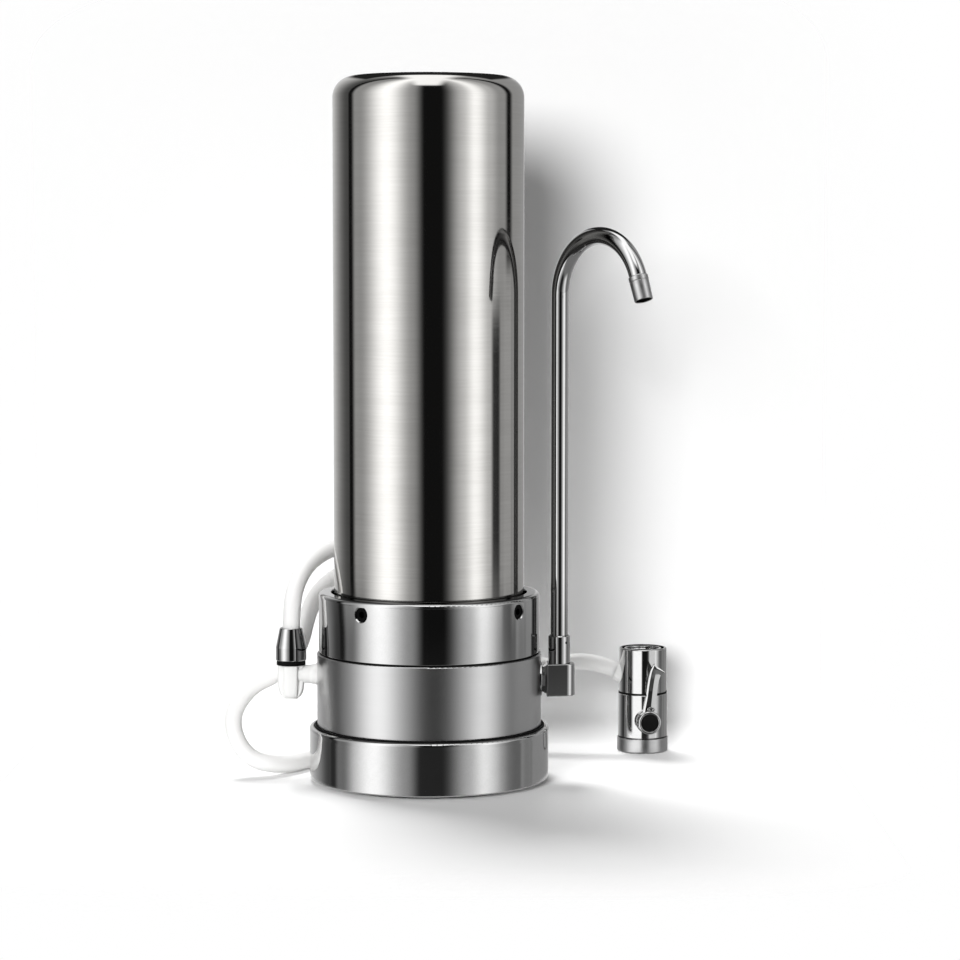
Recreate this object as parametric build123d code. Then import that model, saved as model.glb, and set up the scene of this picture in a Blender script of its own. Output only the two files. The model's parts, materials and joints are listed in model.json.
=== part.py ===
from build123d import *
import os
from math import acos, atan, cos, degrees, pi, radians, sin, sqrt, tan

# Countertop water purifier. Millimetres. The origin is the centre of the underside,
# +X is the spout side, +Y is the back and +Z is up.

# Fits
fit_gap = 0.15
run_gap = 0.3
joint_line = 0.4
overrun = 4.0
pick_tolerance = 0.01

# Foot pad and skirt
pad_radius = 57.0
pad_thickness = 3.0
pad_proud = 2.0
skirt_height = 28.5
skirt_wall = 3.1
skirt_lip = 1.3
skirt_seal_height = 2.5
skirt_seal_sink = 0.5
skirt_gap = 1.0
skirt_floor = 5.0
skirt_rim_round = 1.1
skirt_foot_round = 0.8

# Dome
dome_radius = 51.9
dome_wall = 1.0
dome_height = 294.4
dome_corner = 11.5
dome_crown = 2.3
dome_flange_reach = 4.3
dome_flange_thickness = 1.6

# Collar: the union nut that clamps the dome
neck_wall = 9.2
neck_spare = 0.6
neck_height = 20.3
thread_gap = 0.4
collar_wall = 3.2
collar_lip_height = 11.0
collar_lip_gap = 1.7
collar_rim_round = 1.6
collar_foot_round = 0.5
collar_washer_thickness = 0.4
collar_washer_inset = 0.3
collar_screw_count = 4
collar_screw_heading = 54.0
collar_screw_radius = 3.75
collar_screw_sink = 0.9
collar_screw_bevel = 0.6
collar_screw_drop = 6.8
collar_screw_tip_gap = 0.5
hex_key = 3.4
hex_depth = 2.2

# Base body
body_step = 1.0
body_height = 63.8
body_wall = 3.0
body_top_round = 0.6
body_deck = 6.5
post_radius = 4.5
post_inset = 8.8
post_count = 4
post_heading = 45.0
skirt_screw_radius = 2.0
skirt_screw_length = 20.0
skirt_screw_head_radius = 3.8
skirt_screw_head = 2.2
bar_radius = 9.5
bar_drop = 13.6
passage_radius = 3.0
boss_radius = 15.0
boss_height = 4.0

# Filter candle
candle_radius = 25.0
candle_wall = 7.0
candle_length = 240.0
candle_top_round = 17.0
candle_stem_radius = 6.0
candle_stem_length = 11.0
candle_stem_bore = 3.0
candle_cup_wall = 2.5
candle_cup_height = 12.0
candle_cup_floor = 4.5
candle_seal_thickness = 2.0
candle_seal_rim = 2.0
core_bore = 4.0
core_top_gap = 6.0
seal_section = 1.4
seal_sink = 0.1

# Outlet union and spout block
outlet_drop = 15.0
union_radius = 5.0
union_flange_radius = 9.3
union_saddle = 1.2
union_locknut = 2.4
union_nut_width = 13.2
union_nut_sides = 8
union_nut_lean = 25.0
union_seat_depth = 9.0
union_block_depth = 1.2
union_edge = 0.35
block_length = 15.6
block_depth = 16.6
block_height = 17.6
block_corner = 5.2
block_near_corner = 1.0
block_draft = 10.0
block_edge = 0.6
riser_inset = 7.06

# Spout
tube_radius = 4.75
tube_wall = 1.0
riser_length = 200.9
bend_radius = 32.6
bend_angle = 159.7
spout_heading = -51.0
tip_length = 6.0
sleeve_radius = 6.0
sleeve_height = 15.4
sleeve_edge = 0.5
sleeve_hole = 0.7
sleeve_hole_drop = 3.7
sleeve_hole_heading = -51.0
foot_radius = 5.3
foot_floor = 2.6
foot_top_gap = 0.4
foot_spigot = 6.0
foot_bore = 2.4
foot_ring_count = 2
foot_ring_section = 0.8
foot_ring_first = 3.0
foot_ring_pitch = 5.6
nozzle_radius = 5.5
nozzle_length = 13.5
nozzle_taper = 0.3
nozzle_edge = 0.6
nozzle_wall = 0.9
nozzle_stop = 1.0
insert_thickness = 3.0
insert_sink = 2.4
insert_hole = 0.6
insert_ring_share = 0.6
insert_hole_count = 8

# Inlet elbow, its nut and its seals
inlet_drop = 12.3
elbow_reach = 14.4
arm_radius = 5.0
arm_seat_depth = 8.0
inlet_seal_radius = 5.9
inlet_seal_thickness = 1.2
elbow_bore = 2.0
lobe_reach = 7.5
lobe_width = 8.1
lobe_corner = 2.4
lobe_taper_height = 10.4
lobe_taper_reach = 3.1
lobe_top_edge = 0.8
elbow_below = 13.6
elbow_above = 5.2
plug_radius = 3.9
plug_height = 0.9
plug_stem_radius = 3.0
plug_stem_length = 4.0
plug_edge = 0.4
spigot_radius = 6.2
spigot_height = 7.3
barb_radius = 3.0
barb_height = 9.0
nut_seal_thickness = 2.5
nut_seal_radius = 7.9
nut_radius = 8.2
nut_straight = 7.2
nut_cone = 10.7
nut_top_radius = 6.15
nut_web = 1.0
nut_edge = 0.5

# Hose
hose_radius = 4.75
hose_wall = 1.6
hose_grip_gap = 0.2
hose_turn_share = 0.45
hose_route = [
    (-75.8, 0.0, 72.2), (-75.8, 0.0, 92.0), (-73.5, 10.0, 108.0), (-66.0, 27.0, 119.0),
    (-52.0, 50.0, 124.5), (-28.0, 69.0, 121.0), (0.0, 74.0, 109.0), (24.0, 73.0, 88.0),
    (39.0, 72.0, 60.0), (36.0, 72.0, 30.0), (16.0, 75.0, 9.0), (-14.0, 77.0, 5.0),
    (-44.0, 64.0, 5.1), (-64.0, 40.0, 5.0), (-83.0, 10.0, 5.2), (-102.0, 6.0, 11.0),
    (-111.0, 10.0, 31.0), (-101.0, 17.0, 48.5), (-84.0, 22.0, 55.5), (-72.5, 28.0, 69.0),
    (-69.0, 35.0, 86.0), (-63.5, 44.0, 99.0), (-50.0, 63.0, 108.5), (-24.0, 88.0, 105.0),
    (0.0, 100.0, 92.0), (22.0, 104.0, 74.0), (42.0, 102.0, 55.0), (64.0, 97.0, 47.0),
    (90.0, 93.4, 54.43), (106.6, 93.4, 47.04),
]

# Faucet diverter
diverter_x = 122.4
diverter_y = 93.4
aerator_radius = 14.7
aerator_height = 8.4
aerator_lip = 2.2
aerator_opening = 10.0
aerator_edge = 1.2
screen_thickness = 1.8
screen_hole = 0.9
screen_pitch = 3.0
valve_radius = 14.2
valve_height = 25.4
valve_spigot_radius = 12.2
valve_spigot_height = 4.2
valve_edge = 0.4
head_radius = 13.75
head_height = 25.9
head_rim_round = 0.7
head_spigot_radius = 11.4
head_spigot_height = 6.4
head_passage = 6.0
head_socket_depth = 7.9
adaptor_wall = 1.2
adaptor_groove = 1.5
adaptor_flange = 1.5
adaptor_edge = 0.25
adaptor_sink = 0.3
adaptor_thread_turns = 4
adaptor_thread_depth = 0.35
head_wall = 1.25
washer_thickness = 1.5
port_height = 40.0
port_tilt = 24.0
port_boss_radius = 4.7
port_boss_reach = 17.1
port_bore = 1.6
port_barb_length = 8.0
port_nut_radius = 5.95
port_nut_length = 2.4
port_nut_edge = 0.5

# Lever and spindle
hub_heading = 8.0
hub_height = 19.4
hub_boss_radius = 7.0
hub_boss_reach = 16.8
hub_boss_taper = 0.4
hub_radius = 6.4
hub_length = 5.5
hub_edge = 0.5
lever_cap_radius = 5.0
lever_cap_sink = 1.2
lever_length = 33.0
lever_root_width = 7.6
lever_waist_width = 6.0
lever_tip_width = 8.4
lever_tip_round = 2.6
lever_lean = 6.5
lever_thickness = 2.6
lever_root_rise = 2.0
lever_waist_dip = 0.9
lever_tip_flare = 4.2
lever_back_gap = 0.5
lever_waist_share = 0.42
lever_curl_share = 0.74
lug_width = 4.6
lug_height = 2.9
lug_rise = 7.8
lug_sink = 0.6
lug_wall = 0.8
lug_depth = 1.0
spindle_radius = 4.2
spindle_back = 8.0
spindle_end_radius = 2.5
spindle_end_length = 3.6
spindle_ring_section = 0.8
spindle_ring_inset = 3.4

# Sizes that follow from those above
flange_radius = dome_radius + dome_flange_reach
neck_radius = flange_radius + neck_spare
neck_inner = neck_radius - neck_wall
collar_bore = neck_radius + thread_gap
collar_radius = collar_bore + collar_wall
lip_radius = dome_radius + collar_lip_gap
body_radius = collar_radius + body_step
skirt_inner = body_radius + skirt_gap
skirt_radius = skirt_inner + skirt_wall
skirt_top = pad_proud + skirt_height
body_bottom = pad_proud + skirt_floor
body_top = body_bottom + body_height
deck_bottom = body_top - body_deck
neck_top = body_top + neck_height
flange_top = neck_top + dome_flange_thickness
lip_bottom = flange_top + run_gap
collar_top = lip_bottom + collar_lip_height
washer_top = body_top + collar_washer_thickness
collar_bottom = washer_top + run_gap
skirt_recess = skirt_radius - skirt_lip
skirt_seal_bottom = skirt_top - skirt_seal_sink - skirt_seal_height
collar_screw_z = collar_top - collar_screw_drop
dome_top = neck_top + dome_height
pad_recess = pad_thickness - pad_proud
boss_top = body_top + boss_height
bar_z = body_top - bar_drop
inlet_z = body_top - inlet_drop
outlet_z = body_top - outlet_drop
riser_hole_x = (boss_radius + neck_inner) / 2
post_ring = body_radius - post_inset
screw_head_z = pad_proud + pad_recess
candle_seat = boss_top + candle_seal_thickness
candle_base = candle_seat + candle_cup_floor
candle_cup_radius = candle_radius + fit_gap + candle_cup_wall
seal_ring = (dome_radius - dome_wall + flange_radius) / 2
union_spot_radius = union_flange_radius + run_gap
union_x = sqrt(body_radius ** 2 - union_spot_radius ** 2)
locknut_x = union_x + union_saddle
block_x = locknut_x + union_locknut
riser_x = block_x + riser_inset
block_bottom = outlet_z - block_height / 2
block_top = outlet_z + block_height / 2
socket_radius = foot_radius + run_gap
socket_floor = block_bottom + foot_floor - run_gap
foot_bottom = block_bottom + foot_floor
foot_top = block_top - foot_top_gap
tube_bore = tube_radius - tube_wall
sleeve_bore = tube_radius + run_gap
bend_z = block_top + riser_length
inlet_spot_radius = inlet_seal_radius + run_gap
inlet_x = sqrt(body_radius ** 2 - inlet_spot_radius ** 2)
elbow_offset = body_radius + elbow_reach
elbow_bottom = inlet_z - elbow_below
elbow_top = inlet_z + elbow_above
nut_bottom = elbow_top + nut_seal_thickness
nut_bore = spigot_radius + fit_gap
nut_grip = hose_radius + hose_grip_gap
spigot_top = elbow_top + spigot_height
valve_bottom = aerator_height + run_gap
valve_top = valve_bottom + valve_height
head_bottom = valve_top + joint_line
head_top = head_bottom + head_height
head_socket_z = head_top - head_socket_depth
head_socket_radius = head_radius - head_wall
adaptor_radius = head_socket_radius - run_gap
adaptor_neck = adaptor_radius - adaptor_groove
adaptor_bore = adaptor_neck - adaptor_wall
adaptor_bottom = head_socket_z + washer_thickness + run_gap
adaptor_top = head_top - adaptor_sink
spigot_bore = valve_spigot_radius + run_gap
hub_start = hub_boss_reach + run_gap
hub_end = hub_start + hub_length
spindle_hole = spindle_radius + run_gap


def turned(points):
    """A solid turned about Z from radius and height pairs."""
    return revolve(Plane.XZ * make_face(Polyline(*points, close=True)), Axis.Z)


def tube(outer, inner, bottom, top):
    """A plain ring about Z."""
    return turned([(inner, bottom), (outer, bottom), (outer, top), (inner, top)])


def rod(radius, start, end):
    """A round bar from one point to another."""
    run = Vector(*end) - Vector(*start)
    plane = Plane(origin=start, z_dir=run)
    return extrude(plane * Circle(radius), amount=run.length)


def rim(solid, radius, height):
    """The circular edges of that radius at that height."""
    found = []
    for edge in solid.edges().filter_by(GeomType.CIRCLE):
        if abs(edge.radius - radius) < pick_tolerance and abs(edge.arc_center.Z - height) < pick_tolerance:
            found.append(edge)
    return found


def torus_at(ring, section, height):
    """An O-ring about Z."""
    return Pos(0, 0, height) * Torus(ring, section)


def round_the_axis(count, heading):
    """Turns about Z for evenly spaced repeats."""
    return [Rot(0, 0, heading + index * 360 / count) for index in range(count)]


def foot_pad():
    return Pos(0, 0, pad_thickness / 2) * Cylinder(pad_radius, pad_thickness)


def base_skirt():
    cup = turned([(0, pad_proud), (skirt_radius, pad_proud), (skirt_radius, skirt_top),
                  (skirt_inner, skirt_top), (skirt_inner, body_bottom), (0, body_bottom)])
    cup = fillet(rim(cup, skirt_radius, skirt_top), skirt_rim_round)
    cup = fillet(rim(cup, skirt_radius, pad_proud), skirt_foot_round)
    cup -= tube(skirt_recess, skirt_inner - fit_gap, skirt_seal_bottom, skirt_top + overrun)
    cup -= tube(pad_radius + fit_gap, 0, pad_proud - overrun, screw_head_z)
    for turn in round_the_axis(post_count, post_heading):
        start = (post_ring, 0, screw_head_z - overrun)
        cup -= turn * rod(skirt_screw_radius + fit_gap, start, (post_ring, 0, body_bottom + overrun))
        cup -= turn * rod(skirt_screw_head_radius + fit_gap, start,
                          (post_ring, 0, screw_head_z + skirt_screw_head))
    return cup


def skirt_seal():
    return tube(skirt_recess - fit_gap, body_radius + fit_gap, skirt_seal_bottom, skirt_top - skirt_seal_sink)


def skirt_screws():
    screws = []
    for turn in round_the_axis(post_count, post_heading):
        under_head = screw_head_z + skirt_screw_head
        screw = rod(skirt_screw_head_radius, (post_ring, 0, screw_head_z), (post_ring, 0, under_head))
        screw += rod(skirt_screw_radius, (post_ring, 0, screw_head_z),
                     (post_ring, 0, under_head + skirt_screw_length))
        slot = Pos(post_ring, 0, screw_head_z) * Cylinder(hex_key / 2, skirt_screw_head)
        screws.append(turn * (screw - slot))
    return Compound(children=screws)


def base_body():
    inner = body_radius - body_wall
    body = turned([(inner, body_bottom), (body_radius, body_bottom), (body_radius, body_top),
                   (neck_radius, body_top), (neck_radius, neck_top), (neck_inner, neck_top),
                   (neck_inner, body_top), (boss_radius, body_top), (boss_radius, boss_top),
                   (0, boss_top), (0, deck_bottom), (inner, deck_bottom)])
    body = fillet(rim(body, body_radius, body_top), body_top_round)
    bar_end = body_radius - body_wall / 2
    body += rod(bar_radius, (-bar_end, 0, bar_z), (bar_end, 0, bar_z))
    for turn in round_the_axis(post_count, post_heading):
        body += turn * rod(post_radius, (post_ring, 0, body_bottom), (post_ring, 0, body_top - body_deck / 2))
    hole_top = screw_head_z + skirt_screw_head + skirt_screw_length + fit_gap
    for turn in round_the_axis(post_count, post_heading):
        body -= turn * rod(skirt_screw_radius + fit_gap, (post_ring, 0, body_bottom - overrun),
                           (post_ring, 0, hole_top))
    # Seal groove in the top of the neck
    groove = seal_section + fit_gap
    body -= tube(seal_ring + groove, seal_ring - groove, neck_top - seal_sink - groove * 2, neck_top + overrun)
    # Inlet: a port on the left, along the bar and up into the chamber
    body -= rod(inlet_spot_radius, (-inlet_x, 0, inlet_z), (-body_radius - overrun, 0, inlet_z))
    body -= rod(arm_radius + fit_gap, (-inlet_x + arm_seat_depth, 0, inlet_z), (-body_radius, 0, inlet_z))
    body -= rod(passage_radius, (-riser_hole_x, 0, inlet_z), (-inlet_x, 0, inlet_z))
    body -= rod(passage_radius, (-riser_hole_x, 0, inlet_z), (-riser_hole_x, 0, body_top + overrun))
    # Outlet: down the candle socket and along the bar to the right
    body -= rod(union_spot_radius, (union_x, 0, outlet_z), (body_radius + overrun, 0, outlet_z))
    body -= rod(union_radius + fit_gap, (union_x - union_seat_depth, 0, outlet_z), (body_radius, 0, outlet_z))
    body -= rod(passage_radius, (0, 0, outlet_z), (union_x, 0, outlet_z))
    body -= rod(passage_radius, (0, 0, outlet_z), (0, 0, boss_top))
    socket_end = candle_seat - candle_seal_thickness - candle_stem_length
    body -= rod(candle_stem_radius + fit_gap, (0, 0, socket_end), (0, 0, boss_top + overrun))
    return body


def candle_seal():
    outer = boss_radius - candle_seal_rim
    return tube(outer, candle_stem_radius + fit_gap, boss_top, candle_seat)


def candle_mount():
    recess = candle_radius + fit_gap
    stem_end = candle_seat - candle_seal_thickness - candle_stem_length + fit_gap
    return turned([(candle_stem_bore, stem_end), (candle_stem_radius, stem_end),
                   (candle_stem_radius, candle_seat), (candle_cup_radius, candle_seat),
                   (candle_cup_radius, candle_base + candle_cup_height),
                   (recess, candle_base + candle_cup_height), (recess, candle_base),
                   (candle_stem_bore, candle_base)])


def candle_shell():
    inner = candle_radius - candle_wall
    top = candle_base + candle_length
    shell = Pos(0, 0, candle_base + candle_length / 2) * Cylinder(candle_radius, candle_length)
    shell = fillet(rim(shell, candle_radius, top), candle_top_round)
    hollow = Pos(0, 0, candle_base) * Cylinder(inner, (candle_length - candle_wall) * 2)
    hollow = fillet(rim(hollow, inner, top - candle_wall), candle_top_round - candle_wall)
    return shell - hollow


def candle_core():
    outer = candle_radius - candle_wall - run_gap
    top = candle_base + candle_length - candle_wall - core_top_gap - candle_top_round
    return turned([(core_bore, candle_base), (outer, candle_base), (outer, top), (core_bore, top)])


def dome_seal():
    return torus_at(seal_ring, seal_section, neck_top - seal_sink - seal_section)


def dome_profile(radius, bottom, top, corner):
    """Half of a domed cylinder: wall, rounded corner and low crown."""
    shoulder = top - dome_crown
    middle = radius / 2
    crown_radius = (radius ** 2 + dome_crown ** 2) / (dome_crown * 2)
    middle_z = top - crown_radius + sqrt(crown_radius ** 2 - middle ** 2)
    edges = Polyline((0, top), (0, bottom), (radius, bottom), (radius, shoulder))
    face = make_face([*edges.edges(), ThreePointArc((0, top), (middle, middle_z), (radius, shoulder))])
    outer = [v for v in face.vertices() if abs(v.X - radius) < pick_tolerance and v.Y > bottom + corner]
    return fillet(outer, corner)


def dome_shell():
    shell = revolve(Plane.XZ * dome_profile(dome_radius, neck_top, dome_top, dome_corner), Axis.Z)
    shell += tube(flange_radius, 0, neck_top, flange_top)
    hollow = dome_profile(dome_radius - dome_wall, neck_top - overrun, dome_top - dome_wall, dome_corner - dome_wall)
    return shell - revolve(Plane.XZ * hollow, Axis.Z)


def screw_axis():
    """The start and end of a collar screw, before it is turned to its place."""
    tip = (dome_radius + collar_screw_tip_gap, 0, collar_screw_z)
    head = (collar_radius - collar_screw_sink, 0, collar_screw_z)
    return tip, head


def collar_ring():
    ring = turned([(collar_bore, collar_bottom), (collar_radius, collar_bottom), (collar_radius, collar_top),
                   (lip_radius, collar_top), (lip_radius, lip_bottom), (collar_bore, lip_bottom)])
    ring = fillet(rim(ring, collar_radius, collar_top), collar_rim_round)
    ring = fillet(rim(ring, collar_radius, collar_bottom), collar_foot_round)
    ring = fillet(rim(ring, lip_radius, collar_top), collar_foot_round)
    hole = collar_screw_radius + fit_gap
    bevel_plane = Plane(origin=(collar_radius + overrun, 0, collar_screw_z), z_dir=(-1, 0, 0))
    bevel_top = hole + collar_screw_bevel + overrun
    cone_length = overrun + collar_screw_bevel
    bevel = bevel_plane * Pos(0, 0, cone_length / 2) * Cone(bevel_top, hole, cone_length)
    for turn in round_the_axis(collar_screw_count, collar_screw_heading):
        ring -= turn * rod(hole, (dome_radius, 0, collar_screw_z), (collar_radius + overrun, 0, collar_screw_z))
        ring -= turn * bevel
    return ring


def collar_washer():
    return tube(collar_radius - collar_washer_inset, neck_radius + fit_gap, body_top, washer_top)


def collar_screws():
    tip, head = screw_axis()
    screw = rod(collar_screw_radius, tip, head)
    socket_plane = Plane(origin=head, z_dir=(-1, 0, 0))
    screw -= extrude(socket_plane * RegularPolygon(hex_key / 2, 6, major_radius=False), amount=hex_depth)
    return Compound(children=[turn * screw for turn in round_the_axis(collar_screw_count, collar_screw_heading)])


def outlet_union():
    inside = union_x - union_seat_depth + fit_gap
    outside = block_x + union_block_depth
    fitting = rod(union_radius, (inside, 0, outlet_z), (outside, 0, outlet_z))
    saddle_end = union_x + union_saddle
    saddle = rod(union_flange_radius, (union_x, 0, outlet_z), (saddle_end, 0, outlet_z))
    outer = saddle.edges().filter_by(GeomType.CIRCLE).sort_by(Axis.X)[-1]
    fitting += fillet(outer, union_edge)
    return fitting - rod(passage_radius, (inside - overrun, 0, outlet_z), (outside + overrun, 0, outlet_z))


def union_nut():
    turn = 180 / union_nut_sides
    outline = RegularPolygon(union_nut_width / 2, union_nut_sides, major_radius=False, rotation=turn)
    plane = Plane(origin=(locknut_x, 0, outlet_z), x_dir=(0, 1, 0), z_dir=(1, 0, 0))
    nut = extrude(plane * outline, amount=union_locknut, taper=-union_nut_lean)
    return nut - rod(union_radius + fit_gap, (locknut_x - overrun, 0, outlet_z), (block_x + overrun, 0, outlet_z))


def spout_block():
    far = block_x + block_length
    near_half = block_depth / 2
    far_half = near_half - block_length * tan(radians(block_draft))
    plan = Polyline((block_x, -near_half), (far, -far_half), (far, far_half), (block_x, near_half), close=True)
    block = extrude(Pos(0, 0, block_bottom) * make_face(plan), amount=block_height)
    block = fillet(block.edges().filter_by(Axis.Z).sort_by(Axis.X)[-2:], block_corner)
    block = fillet(block.edges().filter_by(Axis.Z).sort_by(Axis.X)[:2], block_near_corner)
    block = fillet(block.faces().sort_by(Axis.Z)[-1].edges(), block_edge)
    block = fillet(block.faces().sort_by(Axis.Z)[0].edges(), block_edge)
    block -= rod(socket_radius, (riser_x, 0, socket_floor), (riser_x, 0, block_top + overrun))
    block -= rod(union_radius + fit_gap, (block_x - overrun, 0, outlet_z),
                 (block_x + union_block_depth + fit_gap, 0, outlet_z))
    return block - rod(passage_radius, (block_x, 0, outlet_z), (riser_x, 0, outlet_z))


def spout_sleeve():
    sleeve = turned([(sleeve_bore, block_top), (sleeve_radius, block_top),
                     (sleeve_radius, block_top + sleeve_height), (sleeve_bore, block_top + sleeve_height)])
    sleeve = chamfer(rim(sleeve, sleeve_radius, block_top + sleeve_height), sleeve_edge)
    hole_z = block_top + sleeve_height - sleeve_hole_drop
    hole = rod(sleeve_hole, (0, 0, hole_z), (sleeve_radius + overrun, 0, hole_z))
    return Pos(riser_x, 0, 0) * (sleeve - Rot(0, 0, sleeve_hole_heading) * hole)


def ring_heights():
    """Heights of the seal rings on the spout's foot."""
    return [foot_bottom + foot_ring_first + index * foot_ring_pitch for index in range(foot_ring_count)]


def spout_foot():
    spigot = tube_bore - fit_gap
    foot = turned([(foot_bore, foot_bottom), (foot_radius, foot_bottom), (foot_radius, foot_top),
                   (spigot, foot_top), (spigot, foot_top + foot_spigot), (foot_bore, foot_top + foot_spigot)])
    half = foot_ring_section + fit_gap
    floor = socket_radius - fit_gap - half * 2
    for height in ring_heights():
        foot -= tube(foot_radius + overrun, floor, height - half, height + half)
    foot -= rod(foot_bore, (0, 0, outlet_z), (foot_radius + overrun, 0, outlet_z))
    foot -= rod(foot_bore, (0, 0, outlet_z), (-foot_radius - overrun, 0, outlet_z))
    return Pos(riser_x, 0, 0) * foot


def spout_orings():
    ring = socket_radius - fit_gap - foot_ring_section
    rings = [Pos(riser_x, 0, 0) * torus_at(ring, foot_ring_section, height) for height in ring_heights()]
    return Compound(children=rings)


def spout_path():
    """The spout's centre line, and the plane across its end."""
    heading = Vector(cos(radians(spout_heading)), sin(radians(spout_heading)), 0)
    start = Vector(riser_x, 0, foot_top)
    riser_end = Vector(riser_x, 0, bend_z)
    centre = riser_end + heading * bend_radius
    half = radians(bend_angle / 2)
    full = radians(bend_angle)
    middle = centre - heading * (bend_radius * cos(half)) + Vector(0, 0, bend_radius * sin(half))
    end = centre - heading * (bend_radius * cos(full)) + Vector(0, 0, bend_radius * sin(full))
    out = heading * sin(full) + Vector(0, 0, cos(full))
    path = Line(start, riser_end) + ThreePointArc(riser_end, middle, end) + Line(end, end + out * tip_length)
    return path, Plane(origin=end, z_dir=out)


def spout_tube():
    path, _ = spout_path()
    foot_plane = Plane(origin=(riser_x, 0, foot_top), z_dir=(0, 0, 1))
    section = foot_plane * (Circle(tube_radius) - Circle(tube_bore))
    return sweep(section, path=path)


def spout_nozzle():
    _, plane = spout_path()
    grip = tube_radius + fit_gap / 2
    end_radius = nozzle_radius - nozzle_taper
    throat = end_radius - nozzle_wall
    stop = tip_length + fit_gap
    nozzle = turned([(grip, 0), (nozzle_radius, 0), (end_radius, nozzle_length), (throat, nozzle_length),
                     (throat, stop + nozzle_stop), (tube_bore, stop + nozzle_stop), (tube_bore, stop),
                     (grip, stop)])
    nozzle = chamfer(rim(nozzle, nozzle_radius, 0), nozzle_edge - fit_gap)
    return plane.location * nozzle


def nozzle_insert():
    _, plane = spout_path()
    radius = nozzle_radius - nozzle_taper - nozzle_wall - fit_gap / 2
    top = nozzle_length - insert_sink
    insert = tube(radius, 0, top - insert_thickness, top)
    insert -= rod(insert_hole, (0, 0, 0), (0, 0, nozzle_length))
    for turn in round_the_axis(insert_hole_count, 0):
        at = radius * insert_ring_share
        insert -= turn * rod(insert_hole, (at, 0, 0), (at, 0, nozzle_length))
    return plane.location * insert


def inlet_elbow():
    body_low = elbow_bottom + plug_height
    lobes = RectangleRounded(lobe_reach * 2, lobe_width, lobe_corner)
    lobes += RectangleRounded(lobe_width, lobe_reach * 2, lobe_corner)
    body = extrude(Pos(0, 0, body_low) * lobes, amount=elbow_top - body_low)
    foot = (lobe_reach - lobe_taper_reach, body_low)
    shoulder = (lobe_reach, body_low + lobe_taper_height)
    straight = Polyline(foot, (0, body_low), (0, elbow_top), (lobe_reach - lobe_top_edge, elbow_top),
                        (lobe_reach, elbow_top - lobe_top_edge), shoulder)
    taper = TangentArc(shoulder, foot, tangent=(0, -1))
    body &= revolve(Plane.XZ * make_face([*straight.edges(), taper]), Axis.Z)
    body += tube(spigot_radius, 0, elbow_top - lobe_top_edge, spigot_top)
    body += tube(barb_radius, 0, spigot_top, spigot_top + barb_height)
    arm_end = elbow_offset - inlet_x + arm_seat_depth - fit_gap
    arm_z = inlet_z
    body += rod(arm_radius, (0, 0, arm_z), (arm_end, 0, arm_z))
    body -= rod(elbow_bore, (0, 0, arm_z), (arm_end + overrun, 0, arm_z))
    body -= rod(elbow_bore, (0, 0, body_low), (0, 0, spigot_top + barb_height + overrun))
    body -= rod(plug_stem_radius + fit_gap, (0, 0, body_low - overrun), (0, 0, body_low + plug_stem_length + fit_gap))
    return Pos(-elbow_offset, 0, 0) * body


def elbow_plug():
    body_low = elbow_bottom + plug_height
    plug = turned([(0, elbow_bottom), (plug_radius, elbow_bottom), (plug_radius, body_low),
                   (plug_stem_radius, body_low), (plug_stem_radius, body_low + plug_stem_length),
                   (0, body_low + plug_stem_length)])
    plug = fillet(rim(plug, plug_radius, elbow_bottom), plug_edge)
    return Pos(-elbow_offset, 0, 0) * plug


def inlet_seal():
    outside = inlet_x + inlet_seal_thickness
    ring = rod(inlet_seal_radius, (-inlet_x, 0, inlet_z), (-outside, 0, inlet_z))
    return ring - rod(arm_radius + fit_gap, (-inlet_x + overrun, 0, inlet_z), (-outside - overrun, 0, inlet_z))


def nut_seal():
    return Pos(-elbow_offset, 0, 0) * tube(nut_seal_radius, nut_bore, elbow_top, nut_bottom)


def inlet_nut():
    shoulder = nut_bottom + nut_straight
    top = shoulder + nut_cone
    web = spigot_top + nut_web / 2
    nut = turned([(nut_bore, nut_bottom), (nut_radius, nut_bottom), (nut_radius, shoulder),
                  (nut_top_radius, top), (nut_grip, top), (nut_grip, web), (nut_bore, web)])
    nut = fillet(rim(nut, nut_top_radius, top), nut_edge)
    nut = fillet(rim(nut, nut_radius, nut_bottom), nut_edge)
    return Pos(-elbow_offset, 0, 0) * nut


def hose():
    points = [Vector(*point) for point in hose_route]
    radii = []
    for before, here, after in zip(points, points[1:], points[2:]):
        turn = acos((here - before).normalized().dot((after - here).normalized()))
        shorter = min((here - before).length, (after - here).length)
        radii.append(hose_turn_share * shorter / tan(turn / 2))
    print("hose arc radii", [round(radius, 1) for radius in radii])
    path = FilletPolyline(*points, radius=radii)
    section = Plane(origin=points[0], z_dir=points[1] - points[0]) * (
        Circle(hose_radius) - Circle(hose_radius - hose_wall))
    solid = sweep(section, path=path)
    expected = pi * (hose_radius ** 2 - (hose_radius - hose_wall) ** 2) * path.length
    print("hose length", round(path.length, 1), "volume share", round(solid.volume / expected, 4))
    return solid


def port_plane():
    """The hose port's frame on the diverter: Z runs out along the port."""
    out = Vector(-cos(radians(port_tilt)), 0, sin(radians(port_tilt)))
    return Plane(origin=(diverter_x, diverter_y, port_height), z_dir=out)


def port_nut():
    inner = hose_radius + hose_grip_gap
    end = port_boss_reach + fit_gap + port_nut_length
    nut = tube(port_nut_radius, inner, head_passage, end)
    nut = port_plane().location * fillet(rim(nut, port_nut_radius, end), port_nut_edge)
    # Its inner end is shaped to sit on the round head
    return nut - at_diverter(tube(head_radius + fit_gap, 0, 0, head_top + overrun))


def at_diverter(solid):
    """Moves a piece turned about Z to the diverter's axis."""
    return Pos(diverter_x, diverter_y, 0) * solid


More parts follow.
